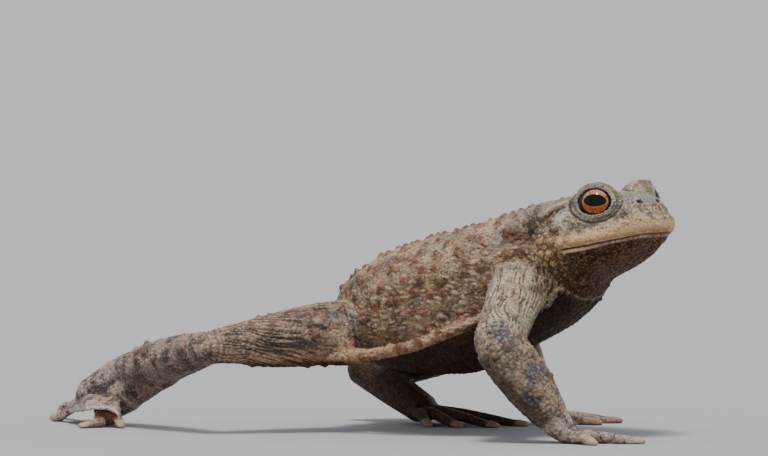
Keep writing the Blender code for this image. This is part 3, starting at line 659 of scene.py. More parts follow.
limbs = {
    "upper_arm_right": ((44.5, -12.0, 29.75), (47.0, -26.0, 19.25)),
    "upper_arm_left": ((42.5, 12.0, 29.25), (24.8, 23.3, 19.0)),
    "forearm_right": ((47.0, -26.0, 19.25), (57.9, -22.0, 3.9)),
    "forearm_left": ((24.8, 23.3, 19.0), (29.0, 27.0, 4.1)),
    "thigh_right": ((5.0, -10.0, 20.05), (-14.3, -30.5, 17.25)),
    "thigh_left": ((6.0, 10.0, 20.05), (17.5, 31.5, 16.5)),
    "shank_right": ((-14.3, -30.5, 17.25), (-42.6, -14.2, 10.4)),
    "shank_left": ((17.5, 31.5, 16.5), (-4.5, 20.0, 9.9)),
}
wrinkles = {
    "upper_arm": (0.42, 0.13, 0.03),  # spacing round the limb, depth, and turn for each mm along it
    "forearm": (1.0, 0.05, 0.0),
    "thigh": (0.55, 0.14, -0.055),
    "shank": (1.0, 0.08, -0.03),
    "waver": (6.0, 0.35),         # size and strength of the bends in the lines
    "stretch": 0.075,             # how little the lines change along the limb
    "girth": 4.6,                 # the round the spacing is measured on
    "sharp": 2.6,
    "floor": -0.4,                # how flat the skin stays between two lines
    "bendSpacing": 1.0,
    "bendDepth": 0.14,
    # the loose skin in front of the shoulder, in the toad's frame
    "chest": ((51.2, 12.6, 34.4), (52.6, 10.2, 30.5), (51.0, 9.6, 26.4)),
    "chestReach": (4.6, 2.6),
    "chestLines": (0.7, 0.14),
}


def creased(places, spacing, seed):
    # 1 on a crest, falling away on both sides of it
    return 1 - np.abs(cloud(places, spacing, seed)) * wrinkles["sharp"]


def limbSpace(name, chosen):
    start, end = (np.array(place) for place in limbs[name])
    line = end - start
    length = np.linalg.norm(line)
    ahead = line / length
    side = np.cross(ahead, (0.3, 0.2, 1.0))           # any way that no limb runs along
    side /= np.linalg.norm(side)
    up = np.cross(ahead, side)
    local = toad[chosen] - start
    return local @ ahead, local @ side, local @ up, length


def wrinkleShape():
    out = np.zeros(len(points))
    mark = np.zeros(len(points))
    for name in limbs:
        here = onSolids(name)
        chosen = np.nonzero(here > 0.05)[0]
        along, u, v, length = limbSpace(name, chosen)
        spacing, depth, turn = wrinkles[name.rsplit("_", 1)[0]]
        bends, bending = wrinkles["waver"]
        angle = np.arctan2(v, u) + along * turn + cloud(toad[chosen], bends, 3.0) * bending
        girth = wrinkles["girth"]
        ring = np.stack((np.cos(angle) * girth, np.sin(angle) * girth, along * wrinkles["stretch"]), axis=1)
        lines = creased(ring, spacing, len(name))
        bend = np.maximum(hump(along, 0.0, 4.0), hump(along, length, 4.0))
        cross = np.stack((u * 0.25, v * 0.25, along), axis=1)
        folds = creased(cross, wrinkles["bendSpacing"], 3.0)
        shape = depth * np.clip(lines, wrinkles["floor"], 1) * (1 - 0.5 * bend)
        shape += wrinkles["bendDepth"] * np.clip(folds, wrinkles["floor"], 1) * bend
        out[chosen] += shape * here[chosen]
        # the troughs between the lines are marked here for painted shade
        if not name.startswith(("forearm", "shank")):
            mark[chosen] += smoothstep(0.35, -0.15, lines) * here[chosen]
    away, _ = alongPath(mirrored(toad), wrinkles["chest"])
    chest = smoothstep(*wrinkles["chestReach"], away) * (1 - onSolids("upper_arm")) * (1 - throatSide)
    chest *= smoothstep(6.0, 8.0, np.abs(toad[:, 1]))
    spacing, depth = wrinkles["chestLines"]
    lines = creased(toad * np.array((1.0, 1.0, 0.3)), spacing, 7.0)
    out += depth * np.clip(lines, wrinkles["floor"], 1) * chest
    # the chest's troughs too, for painted shade
    mark += smoothstep(0.35, -0.15, lines) * chest
    return out, np.clip(mark, 0, 1), chest


throatSide = smoothstep(0.6, 0.9, onHead)
wrinkleOut, wrinkleShade, chestSkin = wrinkleShape()
print("limbs wrinkled")


# The flank: the pale fold from arm to knee, over the dark underside

flank = {
    "foldRight": (
        (39.0, -15.6, 23.65), (33.0, -17.0, 21.25), (27.0, -17.8, 18.85), (20.0, -17.6, 16.85),
        (12.0, -17.0, 15.95), (5.0, -18.8, 15.4), (0.9, -21.1, 15.2), (-2.5, -23.1, 14.8),
        (-5.7, -25.9, 14.7),
    ),
    "foldLeft": ((39.0, 15.6, 23.65), (33.0, 17.0, 21.25), (27.0, 17.6, 19.25), (20.0, 17.6, 18.65)),
    # where the dark underside's edge runs on from the fold, forward and height
    "breast": ((44.0, 24.4), (50.0, 26.2), (53.5, 31.0), (57.0, 38.0), (62.0, 46.0)),
    "foldWidth": 1.35,
    "looseSize": 6.0,
    "looseHeight": 0.3,
}


def flankShape():
    fold = np.zeros(len(points))
    for line in (flank["foldRight"], flank["foldLeft"]):
        away, share = alongPath(toad, line)
        along = hump(away, 0.6, flank["foldWidth"]) * smoothstep(0.0, 0.12, share)
        fold = np.maximum(fold, along)
    edge = flank["foldRight"][::-1] + flank["breast"]
    overFold = toad[:, 2] - np.interp(toad[:, 0], [place[0] for place in edge], [place[-1] for place in edge])
    fold *= np.where(toad[:, 0] < 9, smoothstep(-1.5, -0.7, overFold), 1.0)
    loose = cloud(toad * np.array((0.6, 1.0, 1.3)), flank["looseSize"], 2.0)
    loose = loose * flank["looseHeight"] * np.clip(onTorso + onLimb * 0.5 + onHead * 0.3, 0, 1)
    return fold, overFold, loose * (1 - eyeOpening) * (1 - nearMouth * hump(overMouth, 0, 2.0))


foldSkin, overFold, looseOut = flankShape()


# Warts: those of the solids are found again, and finer ones are strewn between them

warts = {
    "findRounds": 70,
    "findLeast": 0.13,            # how proud a solid's wart stands
    "findApart": 1.9,
    "height": 0.5,                # of its radius
    "foundHeight": 0.14,          # what is added to a wart that the solids have
    "moat": 0.12,
    # the row of larger ones from shoulder to hip, and the tubercles behind the mouth's corner
    # as forward, up and radius
    "row": (
        (37.9, 15.5, 33.5), (34.4, 16.0, 32.6), (29.6, 16.6, 30.6), (24.2, 16.8, 28.5), (18.5, 16.4, 26.7),
        (14.7, 15.6, 25.6),
    ),
    "rowRadius": 1.0,
    "jawSpots": (
        (4.9, -0.9, 0.95), (4.0, -3.0, 1.05), (5.9, -4.7, 0.85), (2.6, -0.2, 0.8), (2.0, -2.6, 0.85),
        (3.4, -5.2, 0.8), (6.2, 1.3, 0.7), (0.9, 1.2, 0.75), (0.2, -4.3, 0.7), (4.2, 0.9, 0.6),
        (5.4, -2.7, 0.55), (7.2, -4.4, 0.6),
    ),
    # how many, least and largest radius, how far apart, on what part of the body
    "kinds": (
        ("back", 85, 0.85, 1.3, 1.75), ("flank", 60, 0.65, 1.05, 2.0), ("leg", 26, 0.35, 0.6, 1.8),
        ("arm", 24, 0.32, 0.5, 1.8), ("jaw", 70, 0.42, 0.8, 1.02), ("brow", 40, 0.26, 0.4, 1.4),
        ("small", 170, 0.3, 0.44, 1.5),
    ),
}


def heightOver(rounds):
    # how proud each point stands of the skin round it
    smooth = spread.ease(points, rounds)
    proud = ((points - smooth) * normals).sum(axis=1) / mm
    return proud - spread.ease(proud, rounds)


def foundWarts():
    proud = heightOver(warts["findRounds"])
    bare = (onHead > 0.6) & (lidRim < 0.05) & (head[:, 0] < 19) & (overMouth > 2.2)
    bare |= onTorso + onLimb > 0.6
    bare &= (foldSkin < 0.5) & (glandSkin < 0.3) & (earSkin < 0.1)
    chosen = np.nonzero(bare & (proud > warts["findLeast"]))[0]
    chosen = chosen[np.argsort(-proud[chosen])]
    kept = []
    for i in chosen:
        if kept:
            gaps = np.linalg.norm(toad[kept] - toad[i], axis=1)
            if gaps.min() < warts["findApart"]:
                continue
        kept.append(i)
    return [(i, float(np.clip(0.7 + proud[i] * 1.3, 0.7, 1.2))) for i in kept]


def wartRoom(kind):
    # how welcome a kind of wart is at each point
    kept = glandSkin + earSkin + earGrooves + eyeOpening + lidRim + nostrilHollowShade + foldSkin * 0.3
    smooth = 1 - np.clip(kept, 0, 1)
    side = smoothstep(0.75, 0.3, rise) * smoothstep(-0.75, -0.2, rise)
    offLips = 1 - nearMouth * smoothstep(3.2, 2.0, overMouth)
    jawSide = hump(head[:, 0], 2.6, 3.4) * hump(head[:, 2], -2.0, 3.6) * smoothstep(8.0, 10.0, across)
    upperHead = onHead * smoothstep(0.0, 1.0, overMouth) * offLips
    rooms = {
        "back": onTorso * smoothstep(0.1, 0.5, rise),
        "flank": onTorso * side,
        "leg": onSolids("thigh", "shank") * smoothstep(-0.5, 0.1, rise),
        "arm": onSolids("forearm") * smoothstep(-0.7, 0.0, rise),
        "jaw": (onHead + onTorso) * jawSide,
        "brow": onHead * smoothstep(0.2, 0.6, rise) * offLips,
        "small": np.clip(onTorso * smoothstep(-0.4, 0.1, rise) + upperHead * 0.4, 0, 1),
    }
    return rooms[kind] * smooth ** 3


def nearestPoint(tree, place, side):
    return tree.find((place[0], place[1] * side, place[2]))[1]


def namedWarts(tree):
    made = []
    headTree = KDTree(len(head))
    for i in np.nonzero(onHead + onTorso > 0.4)[0].tolist():
        headTree.insert(head[i].tolist(), i)
    headTree.balance()
    for side in (1, -1):
        for place in warts["row"]:
            made.append((nearestPoint(tree, place, side), warts["rowRadius"]))
        for x, z, radius in warts["jawSpots"]:
            made.append((nearestPoint(headTree, (x, 13.8, z), side), radius))
    return made


def strewnWarts(taken):
    places = [toad[i] for i, _ in taken]
    sizes = [size for _, size in taken]
    made = []
    for kind, count, least, most, apart in warts["kinds"]:
        room = np.cumsum(wartRoom(kind))
        draws = np.searchsorted(room, rng.random(count * 14) * room[-1])
        grains = rng.random(len(draws))
        added = 0
        for i, grain in zip(draws, grains):
            radius = least + (most - least) * grain ** 1.3
            gaps = np.linalg.norm(np.array(places) - toad[i], axis=1)
            if (gaps < (np.array(sizes) + radius) * apart * 0.9).any():
                continue
            places.append(toad[i])
            sizes.append(radius)
            made.append((i, radius))
            added += 1
            if added == count:
                break
    return made


def wartShape():
    tree = KDTree(len(toad))
    for i, place in enumerate(toad.tolist()):
        tree.insert(place, i)
    tree.balance()
    found = foundWarts()
    named = namedWarts(tree)
    for middle, radius in named:
        found = [(i, size) for i, size in found if np.linalg.norm(toad[i] - toad[middle]) > radius * 1.5]
    strewn = strewnWarts(found + named)
    out, body, tip, big = (np.zeros(len(points)) for _ in range(4))
    every = [(i, radius, warts["foundHeight"]) for i, radius in found]
    every += [(i, radius, warts["height"]) for i, radius in named + strewn]
    for middle, radius, rises in every:
        near = tree.find_range(toad[middle].tolist(), radius * 1.6)
        index = np.array([i for _, i, _ in near])
        share = np.array([away for _, _, away in near]) / radius
        same = (normals[index] @ normals[middle]) > 0.2
        index, share = index[same], share[same]
        dome = np.clip(1 - share ** 2, 0, 1) ** 1.4
        height = radius * rises
        lift = height * dome - radius * 0.3 * warts["moat"] * hump(share, 1.25, 0.2)
        out[index] = np.where(np.abs(lift) > np.abs(out[index]), lift, out[index])
        inside = smoothstep(1.15, 0.7, share)
        body[index] = np.maximum(body[index], inside)
        size = smoothstep(0.45, 0.9, radius)
        big[index] = np.maximum(big[index], inside * size)
        if radius > 0.5:
            point = smoothstep(0.7, 0.2, share)
            tip[index] = np.maximum(tip[index], point * size)
            out[index] += 0.1 * point * radius
    print("warts:", len(found), "of the solids,", len(named) + len(strewn), "finer")
    return out, body, tip, big


wartOut, wartBody, wartTip, wartBig = wartShape()


# Granules between the warts, drawn out along the flank, finest on throat and head

granules = {
    # size and height on each part
    "back": (0.75, 0.11), "flank": (1.0, 0.21), "belly": (0.9, 0.17), "upperArm": (0.7, 0.03),
    "forearm": (1.15, 0.15), "thigh": (0.9, 0.07), "shank": (0.9, 0.12), "head": (0.62, 0.12),
    "digit": (0.55, 0.08),
    "flankStretch": 0.32,
}


def granuleShape():
    sideShare = smoothstep(0.72, 0.4, rise)
    lowShare = smoothstep(-0.25, -0.6, rise)
    shares = {
        "back": onTorso * (1 - sideShare),
        "flank": onTorso * sideShare * (1 - lowShare),
        "belly": onTorso * lowShare,
        "upperArm": onUpperArm, "forearm": onForearm, "thigh": onThigh, "shank": onShank, "head": onHead,
        "digit": onDigit,
    }
    out = np.zeros(len(points))
    top = np.zeros(len(points))
    for k, (part, here) in enumerate(shares.items()):
        size, height = granules[part]
        chosen = np.nonzero(here > 0.02)[0]
        places = toad[chosen]
        if part == "flank":
            bent = cloud(places, 7.0, 4.0)[:, None] * np.array((0.0, 1.5, 1.5))
            places = (places + bent) * np.array((granules["flankStretch"], 1.0, 1.0))
        near, second = pebbles(places, size, k + 1.0)
        grain = np.clip(second - near, 0, 0.6) / 0.6
        out[chosen] += grain * height * here[chosen]
        top[chosen] += grain * here[chosen]
    smooth = glandSkin * 0.8 + earSkin + eyeOpening + nearMouth * hump(overMouth, 1.0, 1.6)
    smooth += lidPale + lidDark * 0.8
    smooth = np.clip(smooth, 0, 1)
    return out * (1 - smooth) * (1 - 0.8 * wartBody), np.clip(top, 0, 1)


onUpperArm, onForearm = onSolids("upper_arm"), onSolids("forearm")
onThigh, onShank = onSolids("thigh"), onSolids("shank")
granuleOut, granuleTop = granuleShape()


# Digits: soft round tips

digits = {
    "tips": (
        (65.5, -12.5), (70.0, -14.2), (74.0, -17.2), (67.5, -25.3), (39.5, 23.5), (42.5, 29.0), (43.5, 36.5),
        (34.5, 38.0), (-39.5, -23.5), (-45.5, -26.5), (-61.0, -9.5), (-65.4, 0.2), (-58.5, 5.0),
        (15.0, 7.5), (21.5, 8.5), (28.0, 12.0), (31.0, 19.0), (20.5, 26.5),
    ),
    "tipRadius": 1.7,
    "swell": 0.22,
    "stout": (((-58.2, -10.3, 3.4), (-61.0, -9.5, 1.2)), 2.2, 0.5),   # the near hind foot's long toe
}


def digitShape():
    tipMark = np.zeros(len(points))
    for x, y in digits["tips"]:
        away = np.linalg.norm(toad - np.array((x, y, 0.7)), axis=1)
        tipMark = np.maximum(tipMark, smoothstep(digits["tipRadius"] * 1.6, digits["tipRadius"] * 0.7, away))
    tipMark *= onDigit
    path, reach, swell = digits["stout"]
    stout = swell * onDigit * smoothstep(reach, reach * 0.6, alongPath(toad, path)[0])
    return tipMark * digits["swell"] * smoothstep(-0.6, 0.2, rise) + stout, tipMark


digitOut, tipMark = digitShape()
raised = mouthOut + lidOut + earOut + ridgeOut + glandOut + nostrilOut + wrinkleOut + looseOut
raised += wartOut + granuleOut + digitOut
raised *= 1 - smoothstep(0.5, 0.05, toad[:, 2]) * 0.9     # the soles stay on the floor
shaped = points + normals * raised[:, None] * mm
shaped[:, 2] = np.maximum(shaped[:, 2], 0.0)
shaped = crispLids(shaped)
writePoints(skin.data, shaped)
print("skin shaped")


# What the colours need, kept with the points

def crevices(rounds=5, gain=7):
    # under 0.5 in a pit, over it on a grain
    smooth = spread.ease(shaped, rounds)
    proud = ((shaped - smooth) * normals).sum(axis=1) / mm
    return np.clip(0.5 + proud * gain, 0, 1)


blotches = {
    # places in the toad's own frame, radius, strength
    "dark": (
        ((4.6, -8.0, 29.4), 2.4, 0.9), ((-2.4, -25.6, 17.6), 2.9, 0.95), ((1.1, -22.8, 17.9), 2.5, 0.95),
        ((-37.7, -20.6, 7.6), 1.7, 0.95), ((-34.3, -23.9, 12.9), 1.6, 0.8), ((-20.0, -30.4, 13.6), 2.0, 0.6),
        ((-25.3, -28.9, 14.4), 1.7, 0.6), ((16.0, -11.0, 33.0), 3.0, 0.35), ((50.0, -6.0, 46.5), 2.2, 0.5),
        ((10.0, 9.0, 31.0), 3.0, 0.7), ((-8.0, -28.0, 21.0), 1.6, 0.5), ((66.8, -7.0, 48.2), 1.0, 0.7),
        ((66.8, 7.0, 48.2), 1.0, 0.7), ((9.5, -21.5, 17.3), 1.3, 0.4), ((-31.0, -21.0, 18.5), 1.6, 0.6),
    ),
    "slate": (
        ((49.1, -29.3, 22.3), 3.0, 0.9), ((50.6, -30.0, 19.3), 2.0, 0.8), ((55.5, -27.0, 14.1), 2.6, 0.9),
        ((54.8, -27.7, 8.7), 2.0, 0.8), ((9.6, -15.1, 22.3), 1.8, 0.9), ((-45.0, -17.8, 7.2), 2.0, 0.7),
        # the three slate ones behind the gland draw a dark streak, partly its own colour, partly painted
        # shade in the groove there
        ((-48.0, -15.0, 8.0), 1.5, 0.6), ((49.4, -11.8, 45.6), 1.5, 0.8), ((48.9, -12.4, 43.2), 1.6, 0.8),
        ((48.0, -12.7, 40.2), 1.4, 0.8), ((39.0, -4.0, 44.0), 2.6, 0.5), ((30.0, -8.0, 39.5), 2.0, 0.5),
        ((22.0, -5.0, 37.0), 1.6, 0.4), ((-40.0, -16.0, 14.0), 1.6, 0.6),
    ),
    "pale": (
        ((48.3, -18.0, 30.9), 1.5, 1.0), ((8.5, -12.4, 27.5), 1.5, 0.9), ((5.5, -11.0, 26.2), 1.3, 0.9),
        ((47.5, -22.0, 27.0), 2.6, 0.5), ((44.7, -18.0, 32.6), 1.5, 0.6), ((8.0, -17.0, 18.6), 2.8, 0.6),
        ((12.5, -16.5, 18.0), 2.6, 0.5), ((-38.0, -16.5, 15.0), 1.8, 0.5), ((-28.0, -25.0, 18.0), 1.8, 0.5),
    ),
}


def blotchMark(kind):
    ragged = cloud(toad, 1.8, 5.0) * 0.9 + cloud(toad, 0.7, 6.0) * 0.6
    out = np.zeros(len(points))
    for place, radius, strength in blotches[kind]:
        away = np.linalg.norm(toad - np.array(place), axis=1) + ragged
        out = np.maximum(out, strength * smoothstep(radius * 1.15, radius * 0.6, away))
    return out


# the dark underside: belly, throat and the inner faces of the far legs; the throat's dark is its own, the
# belly's and the far legs' partly their own tone, partly painted shade
leftLimbs = onSolids("thigh_left", "shank_left", "foot_left", "upper_arm_left", "forearm_left")
innerLeft = smoothstep(0.15, -0.45, normals[:, 1]) * leftLimbs * (1 - tipMark)
lowDown = smoothstep(0.2, -0.7, overFold) * (1 - onHead)
belly = smoothstep(-0.05, -0.45, rise) * np.clip(onTorso + onLimb * 0.75, 0, 1)
belly *= np.where(toad[:, 0] > -12, lowDown, 0.6)
throat = smoothstep(-0.15, -0.5, overMouth) * smoothstep(0.3, 0.8, onHead) * smoothstep(-1.0, 2.5, head[:, 0])
throat *= 1 - nearMouth * smoothstep(-0.85, -0.6, overMouth) * smoothstep(15.5, 10.0, head[:, 0])
# lips, and the tubercles behind the corner of the mouth
lip = nearMouth * smoothstep(0.2, 0.5, overMouth) * smoothstep(3.0, 1.9, overMouth)
lowerLip = nearMouth * smoothstep(-0.05, -0.2, overMouth) * smoothstep(-0.8, -0.55, overMouth)
lowerLip *= smoothstep(15.5, 10.0, head[:, 0])
lipShade = nearMouth * hump(overMouth, 0.55, 0.55)
# painted shade: a dark line along the mouth's groove
mouthGrooveShade = nearMouth * hump(overMouth, 0.0, 0.17) * (0.5 + 0.5 * smoothstep(22.0, 12.0, head[:, 0]))
jawSkin = (onHead + onTorso) * hump(head[:, 0], 3.2, 3.4) * hump(head[:, 2], -2.0, 4.0)
jawSkin *= smoothstep(8.0, 10.0, across)
# the near hind foot
solePlace, soleSize = hindFoot["ball"]
fromSole = np.linalg.norm((toad - np.array(solePlace)) / (np.array(soleSize) + 0.9), axis=1)
# the sole, painted dark red: partly its own tone, partly painted shade under the web
sole = onDigit * smoothstep(1.5, 0.95, fromSole)
sole *= smoothstep(3.4, 2.9, toad[:, 2]) * smoothstep(-39.0, -40.2, toad[:, 0])
webEnd, sideEnd = (alongPath(toad, hindFoot[edge])[0] for edge in ("webEdge", "sideEdge"))
webRim = onDigit * np.maximum(hump(webEnd, 0.2, 0.65), hump(sideEnd, 0.2, 0.5))
webSkin = onDigit * smoothstep(2.4, 1.2, alongPath(toad, hindFoot["sideEdge"][1:])[0])
snout = onHead * smoothstep(14.0, 19.0, head[:, 0]) * smoothstep(1.0, 2.6, head[:, 2])
under = np.clip(np.maximum(np.maximum(belly, throat), innerLeft * 0.9), 0, 1)
marks = {
    "skinRelief": (wartBody, wartTip, crevices(), granuleTop),
    "skinWart": (wartBig, np.clip(foldSkin, 0, 1), onDigit, tipMark),
    "skinZone": (under, onTorso * smoothstep(0.75, 0.3, rise), earGrooves, ridgeMark),
    "skinLimb": (onUpperArm, onForearm, onThigh, onShank),
    "skinHead": (np.clip(lip + lowerLip, 0, 1), lidPale * (1 - eyeOpening), earSkin, nostrilHollowShade),
    "skinFace": (glandSkin, snout, np.clip(jawSkin, 0, 1), mouthGrooveShade),
    "skinLid": (lidDark, lidUpper, onHead, smoothstep(0.0, 1.0, throat)),
    "skinFoot": (sole, webRim, webSkin, onSolids("foot_left", "hand_left")),
    "skinBlotch": (blotchMark("dark"), blotchMark("slate"), blotchMark("pale")),
    "skinLines": (wrinkleShade, chestSkin, lipShade, jawSkin * smoothstep(0.3, -0.6, head[:, 2])),
}


def thinSkin():
    triangles = len(skin.data.polygons) * 2
    if triangles > skinForm["mostTriangles"]:
        group = skin.vertex_groups.new(name="care")
        group.add(np.nonzero(onHead > 0.5)[0].tolist(), skinForm["headCare"], "REPLACE")
        thin = skin.modifiers.new("thin", "DECIMATE")
        thin.ratio = skinForm["mostTriangles"] / triangles
        thin.vertex_group = "care"
        thin.invert_vertex_group = True
        applied(skin)
    fine = KDTree(len(shaped))
    for i, place in enumerate(shaped.tolist()):
        fine.insert(place, i)
    fine.balance()
    nearest = np.array([fine.find(place)[1] for place in readPoints(skin.data).tolist()])
    for name, columns in marks.items():
        values = np.zeros((len(nearest), 4))
        values[:, :len(columns)] = np.stack(columns, axis=1)[nearest]
        layer = skin.data.attributes.new(name, "FLOAT_COLOR", "POINT")
        layer.data.foreach_set("color", values.astype(np.float32).ravel())
    skin.data.shade_smooth()
    print("skin:", sum(len(face.vertices) - 2 for face in skin.data.polygons), "triangles")


thinSkin()


# Materials

def newMaterial(name):
    made = bpy.data.materials.new(name)
    made.use_nodes = True
    return made, made.node_tree, made.node_tree.nodes["Principled BSDF"]


def addNode(tree, kind, **settings):
    made = tree.nodes.new(kind)
    for key, value in settings.items():
        setattr(made, key, value)
    return made


def setInput(tree, socket, value):
    if isinstance(value, bpy.types.NodeSocket):
        tree.links.new(value, socket)
    elif isinstance(value, tuple) and len(value) == 3 and len(socket.default_value) == 4:
        socket.default_value = (*value, 1.0)
    else:
        socket.default_value = value


def mixColour(tree, factor, first, second, blend="MIX"):
    made = addNode(tree, "ShaderNodeMix", data_type="RGBA", blend_type=blend)
    setInput(tree, made.inputs[0], factor)
    setInput(tree, made.inputs[6], first)
    setInput(tree, made.inputs[7], second)
    return made.outputs[2]


def calc(tree, operation, first, second=0.0, clamp=False):
    made = addNode(tree, "ShaderNodeMath", operation=operation, use_clamp=clamp)
    setInput(tree, made.inputs[0], first)
    setInput(tree, made.inputs[1], second)
    return made.outputs[0]


def lengthOf(tree, first, second):
    squares = (calc(tree, "MULTIPLY", side, side) for side in (first, second))
    return calc(tree, "SQRT", calc(tree, "ADD", *squares))


def ranged(tree, value, low, high, toLow=0.0, toHigh=1.0):
    made = addNode(tree, "ShaderNodeMapRange", interpolation_type="SMOOTHSTEP")
    for socket, number in zip(made.inputs[:5], (value, low, high, toLow, toHigh)):
        setInput(tree, socket, number)
    return made.outputs[0]


def patches(tree, coords, size, detail=3.0, low=0.45, high=0.62):
    made = addNode(tree, "ShaderNodeTexNoise")
    tree.links.new(coords, made.inputs["Vector"])
    made.inputs["Scale"].default_value = 1 / (size * mm)
    made.inputs["Detail"].default_value = detail
    return ranged(tree, made.outputs["Fac"], low, high)


def cells(tree, coords, size, feature="F1"):
    # distance to the nearest grain, and a chance value for each grain
    made = addNode(tree, "ShaderNodeTexVoronoi", feature=feature)
    tree.links.new(coords, made.inputs["Vector"])
    made.inputs["Scale"].default_value = 1 / (size * mm)
    split = addNode(tree, "ShaderNodeSeparateColor")
    tree.links.new(made.outputs["Color"], split.inputs[0])
    return made.outputs["Distance"], split.outputs[0], split.outputs[1]


def channels(tree, name):
    made = addNode(tree, "ShaderNodeAttribute", attribute_name=name)
    split = addNode(tree, "ShaderNodeSeparateColor")
    tree.links.new(made.outputs["Color"], split.inputs[0])
    return (*split.outputs, made.outputs["Alpha"])


skinTones = {
    # the ground colours of each part
    "backPale": (0.52, 0.39, 0.235), "backTan": (0.31, 0.205, 0.115), "backGrain": (0.62, 0.50, 0.35),
    "flankDark": (0.20, 0.125, 0.055), "flankPale": (0.37, 0.255, 0.135), "flankGrain": (0.5, 0.31, 0.17),
    "headPale": (0.52, 0.41, 0.26), "headOlive": (0.19, 0.14, 0.075),
    "armPale": (0.52, 0.45, 0.31), "armTan": (0.27, 0.205, 0.13),
    "foreDark": (0.14, 0.11, 0.08), "foreTan": (0.33, 0.235, 0.15),
    "thighTan": (0.33, 0.205, 0.135), "thighDark": (0.10, 0.055, 0.036),
    "shankTan": (0.36, 0.265, 0.2), "shankDark": (0.11, 0.082, 0.07),
    "digit": (0.43, 0.34, 0.275), "digitDark": (0.11, 0.085, 0.075), "digitTip": (0.52, 0.38, 0.27),
    # patches, specks and warts
    "sole": (0.22, 0.065, 0.035), "grainDark": (0.17, 0.125, 0.085), "grainPink": (0.46, 0.31, 0.25),
    "slate": (0.088, 0.09, 0.108), "dark": (0.035, 0.026, 0.024), "pale": (0.56, 0.42, 0.26),
    # the belly's dark is partly its own tone, partly painted shade
    "belly": (0.032, 0.018, 0.011), "bellySpeck": (0.08, 0.048, 0.027), "throat": (0.05, 0.019, 0.008),
    "throatSpeck": (0.2, 0.105, 0.06),
    # the far digits' tone: partly their own red, partly painted shade
    "web": (0.42, 0.36, 0.33), "webRim": (0.8, 0.6, 0.52), "farDigitRedAndShade": (0.3, 0.14, 0.09),
    "wart": (0.24, 0.105, 0.055), "wartRed": (0.4, 0.155, 0.08), "wartTip": (0.1, 0.045, 0.028),
    # the face, the fold and the chest
    "lip": (0.68, 0.46, 0.22), "lowerLip": (0.54, 0.39, 0.22), "lipOrange": (0.42, 0.165, 0.05),
    "mouthGrooveShade": (0.07, 0.028, 0.012),
    "lidRing": (0.35, 0.42, 0.37), "lidRingDark": (0.16, 0.18, 0.15), "lidDark": (0.04, 0.04, 0.04),
    "lidOlive": (0.25, 0.2, 0.09),
    "ear": (0.5, 0.5, 0.46), "gland": (0.34, 0.26, 0.235), "snout": (0.28, 0.27, 0.27),
    "tubercle": (0.62, 0.32, 0.12), "tuberclePale": (0.66, 0.5, 0.29), "ridge": (0.56, 0.38, 0.29),
    "nostril": (0.008, 0.006, 0.005), "chest": (0.42, 0.33, 0.21),
    "fold": (0.46, 0.27, 0.15), "foldDark": (0.24, 0.12, 0.06),
    # painted shade for the wrinkle lines, pits and crevices, the dark of the skin's own specks, and the
    # painted highlight on the grains' tops
    "lineShade": (0.42, 0.34, 0.27), "pitShade": (0.4, 0.31, 0.23), "creviceShade": (0.27, 0.18, 0.12),
    "speckShade": (0.3, 0.24, 0.2), "paintedGlint": (0.75, 0.62, 0.45),
}


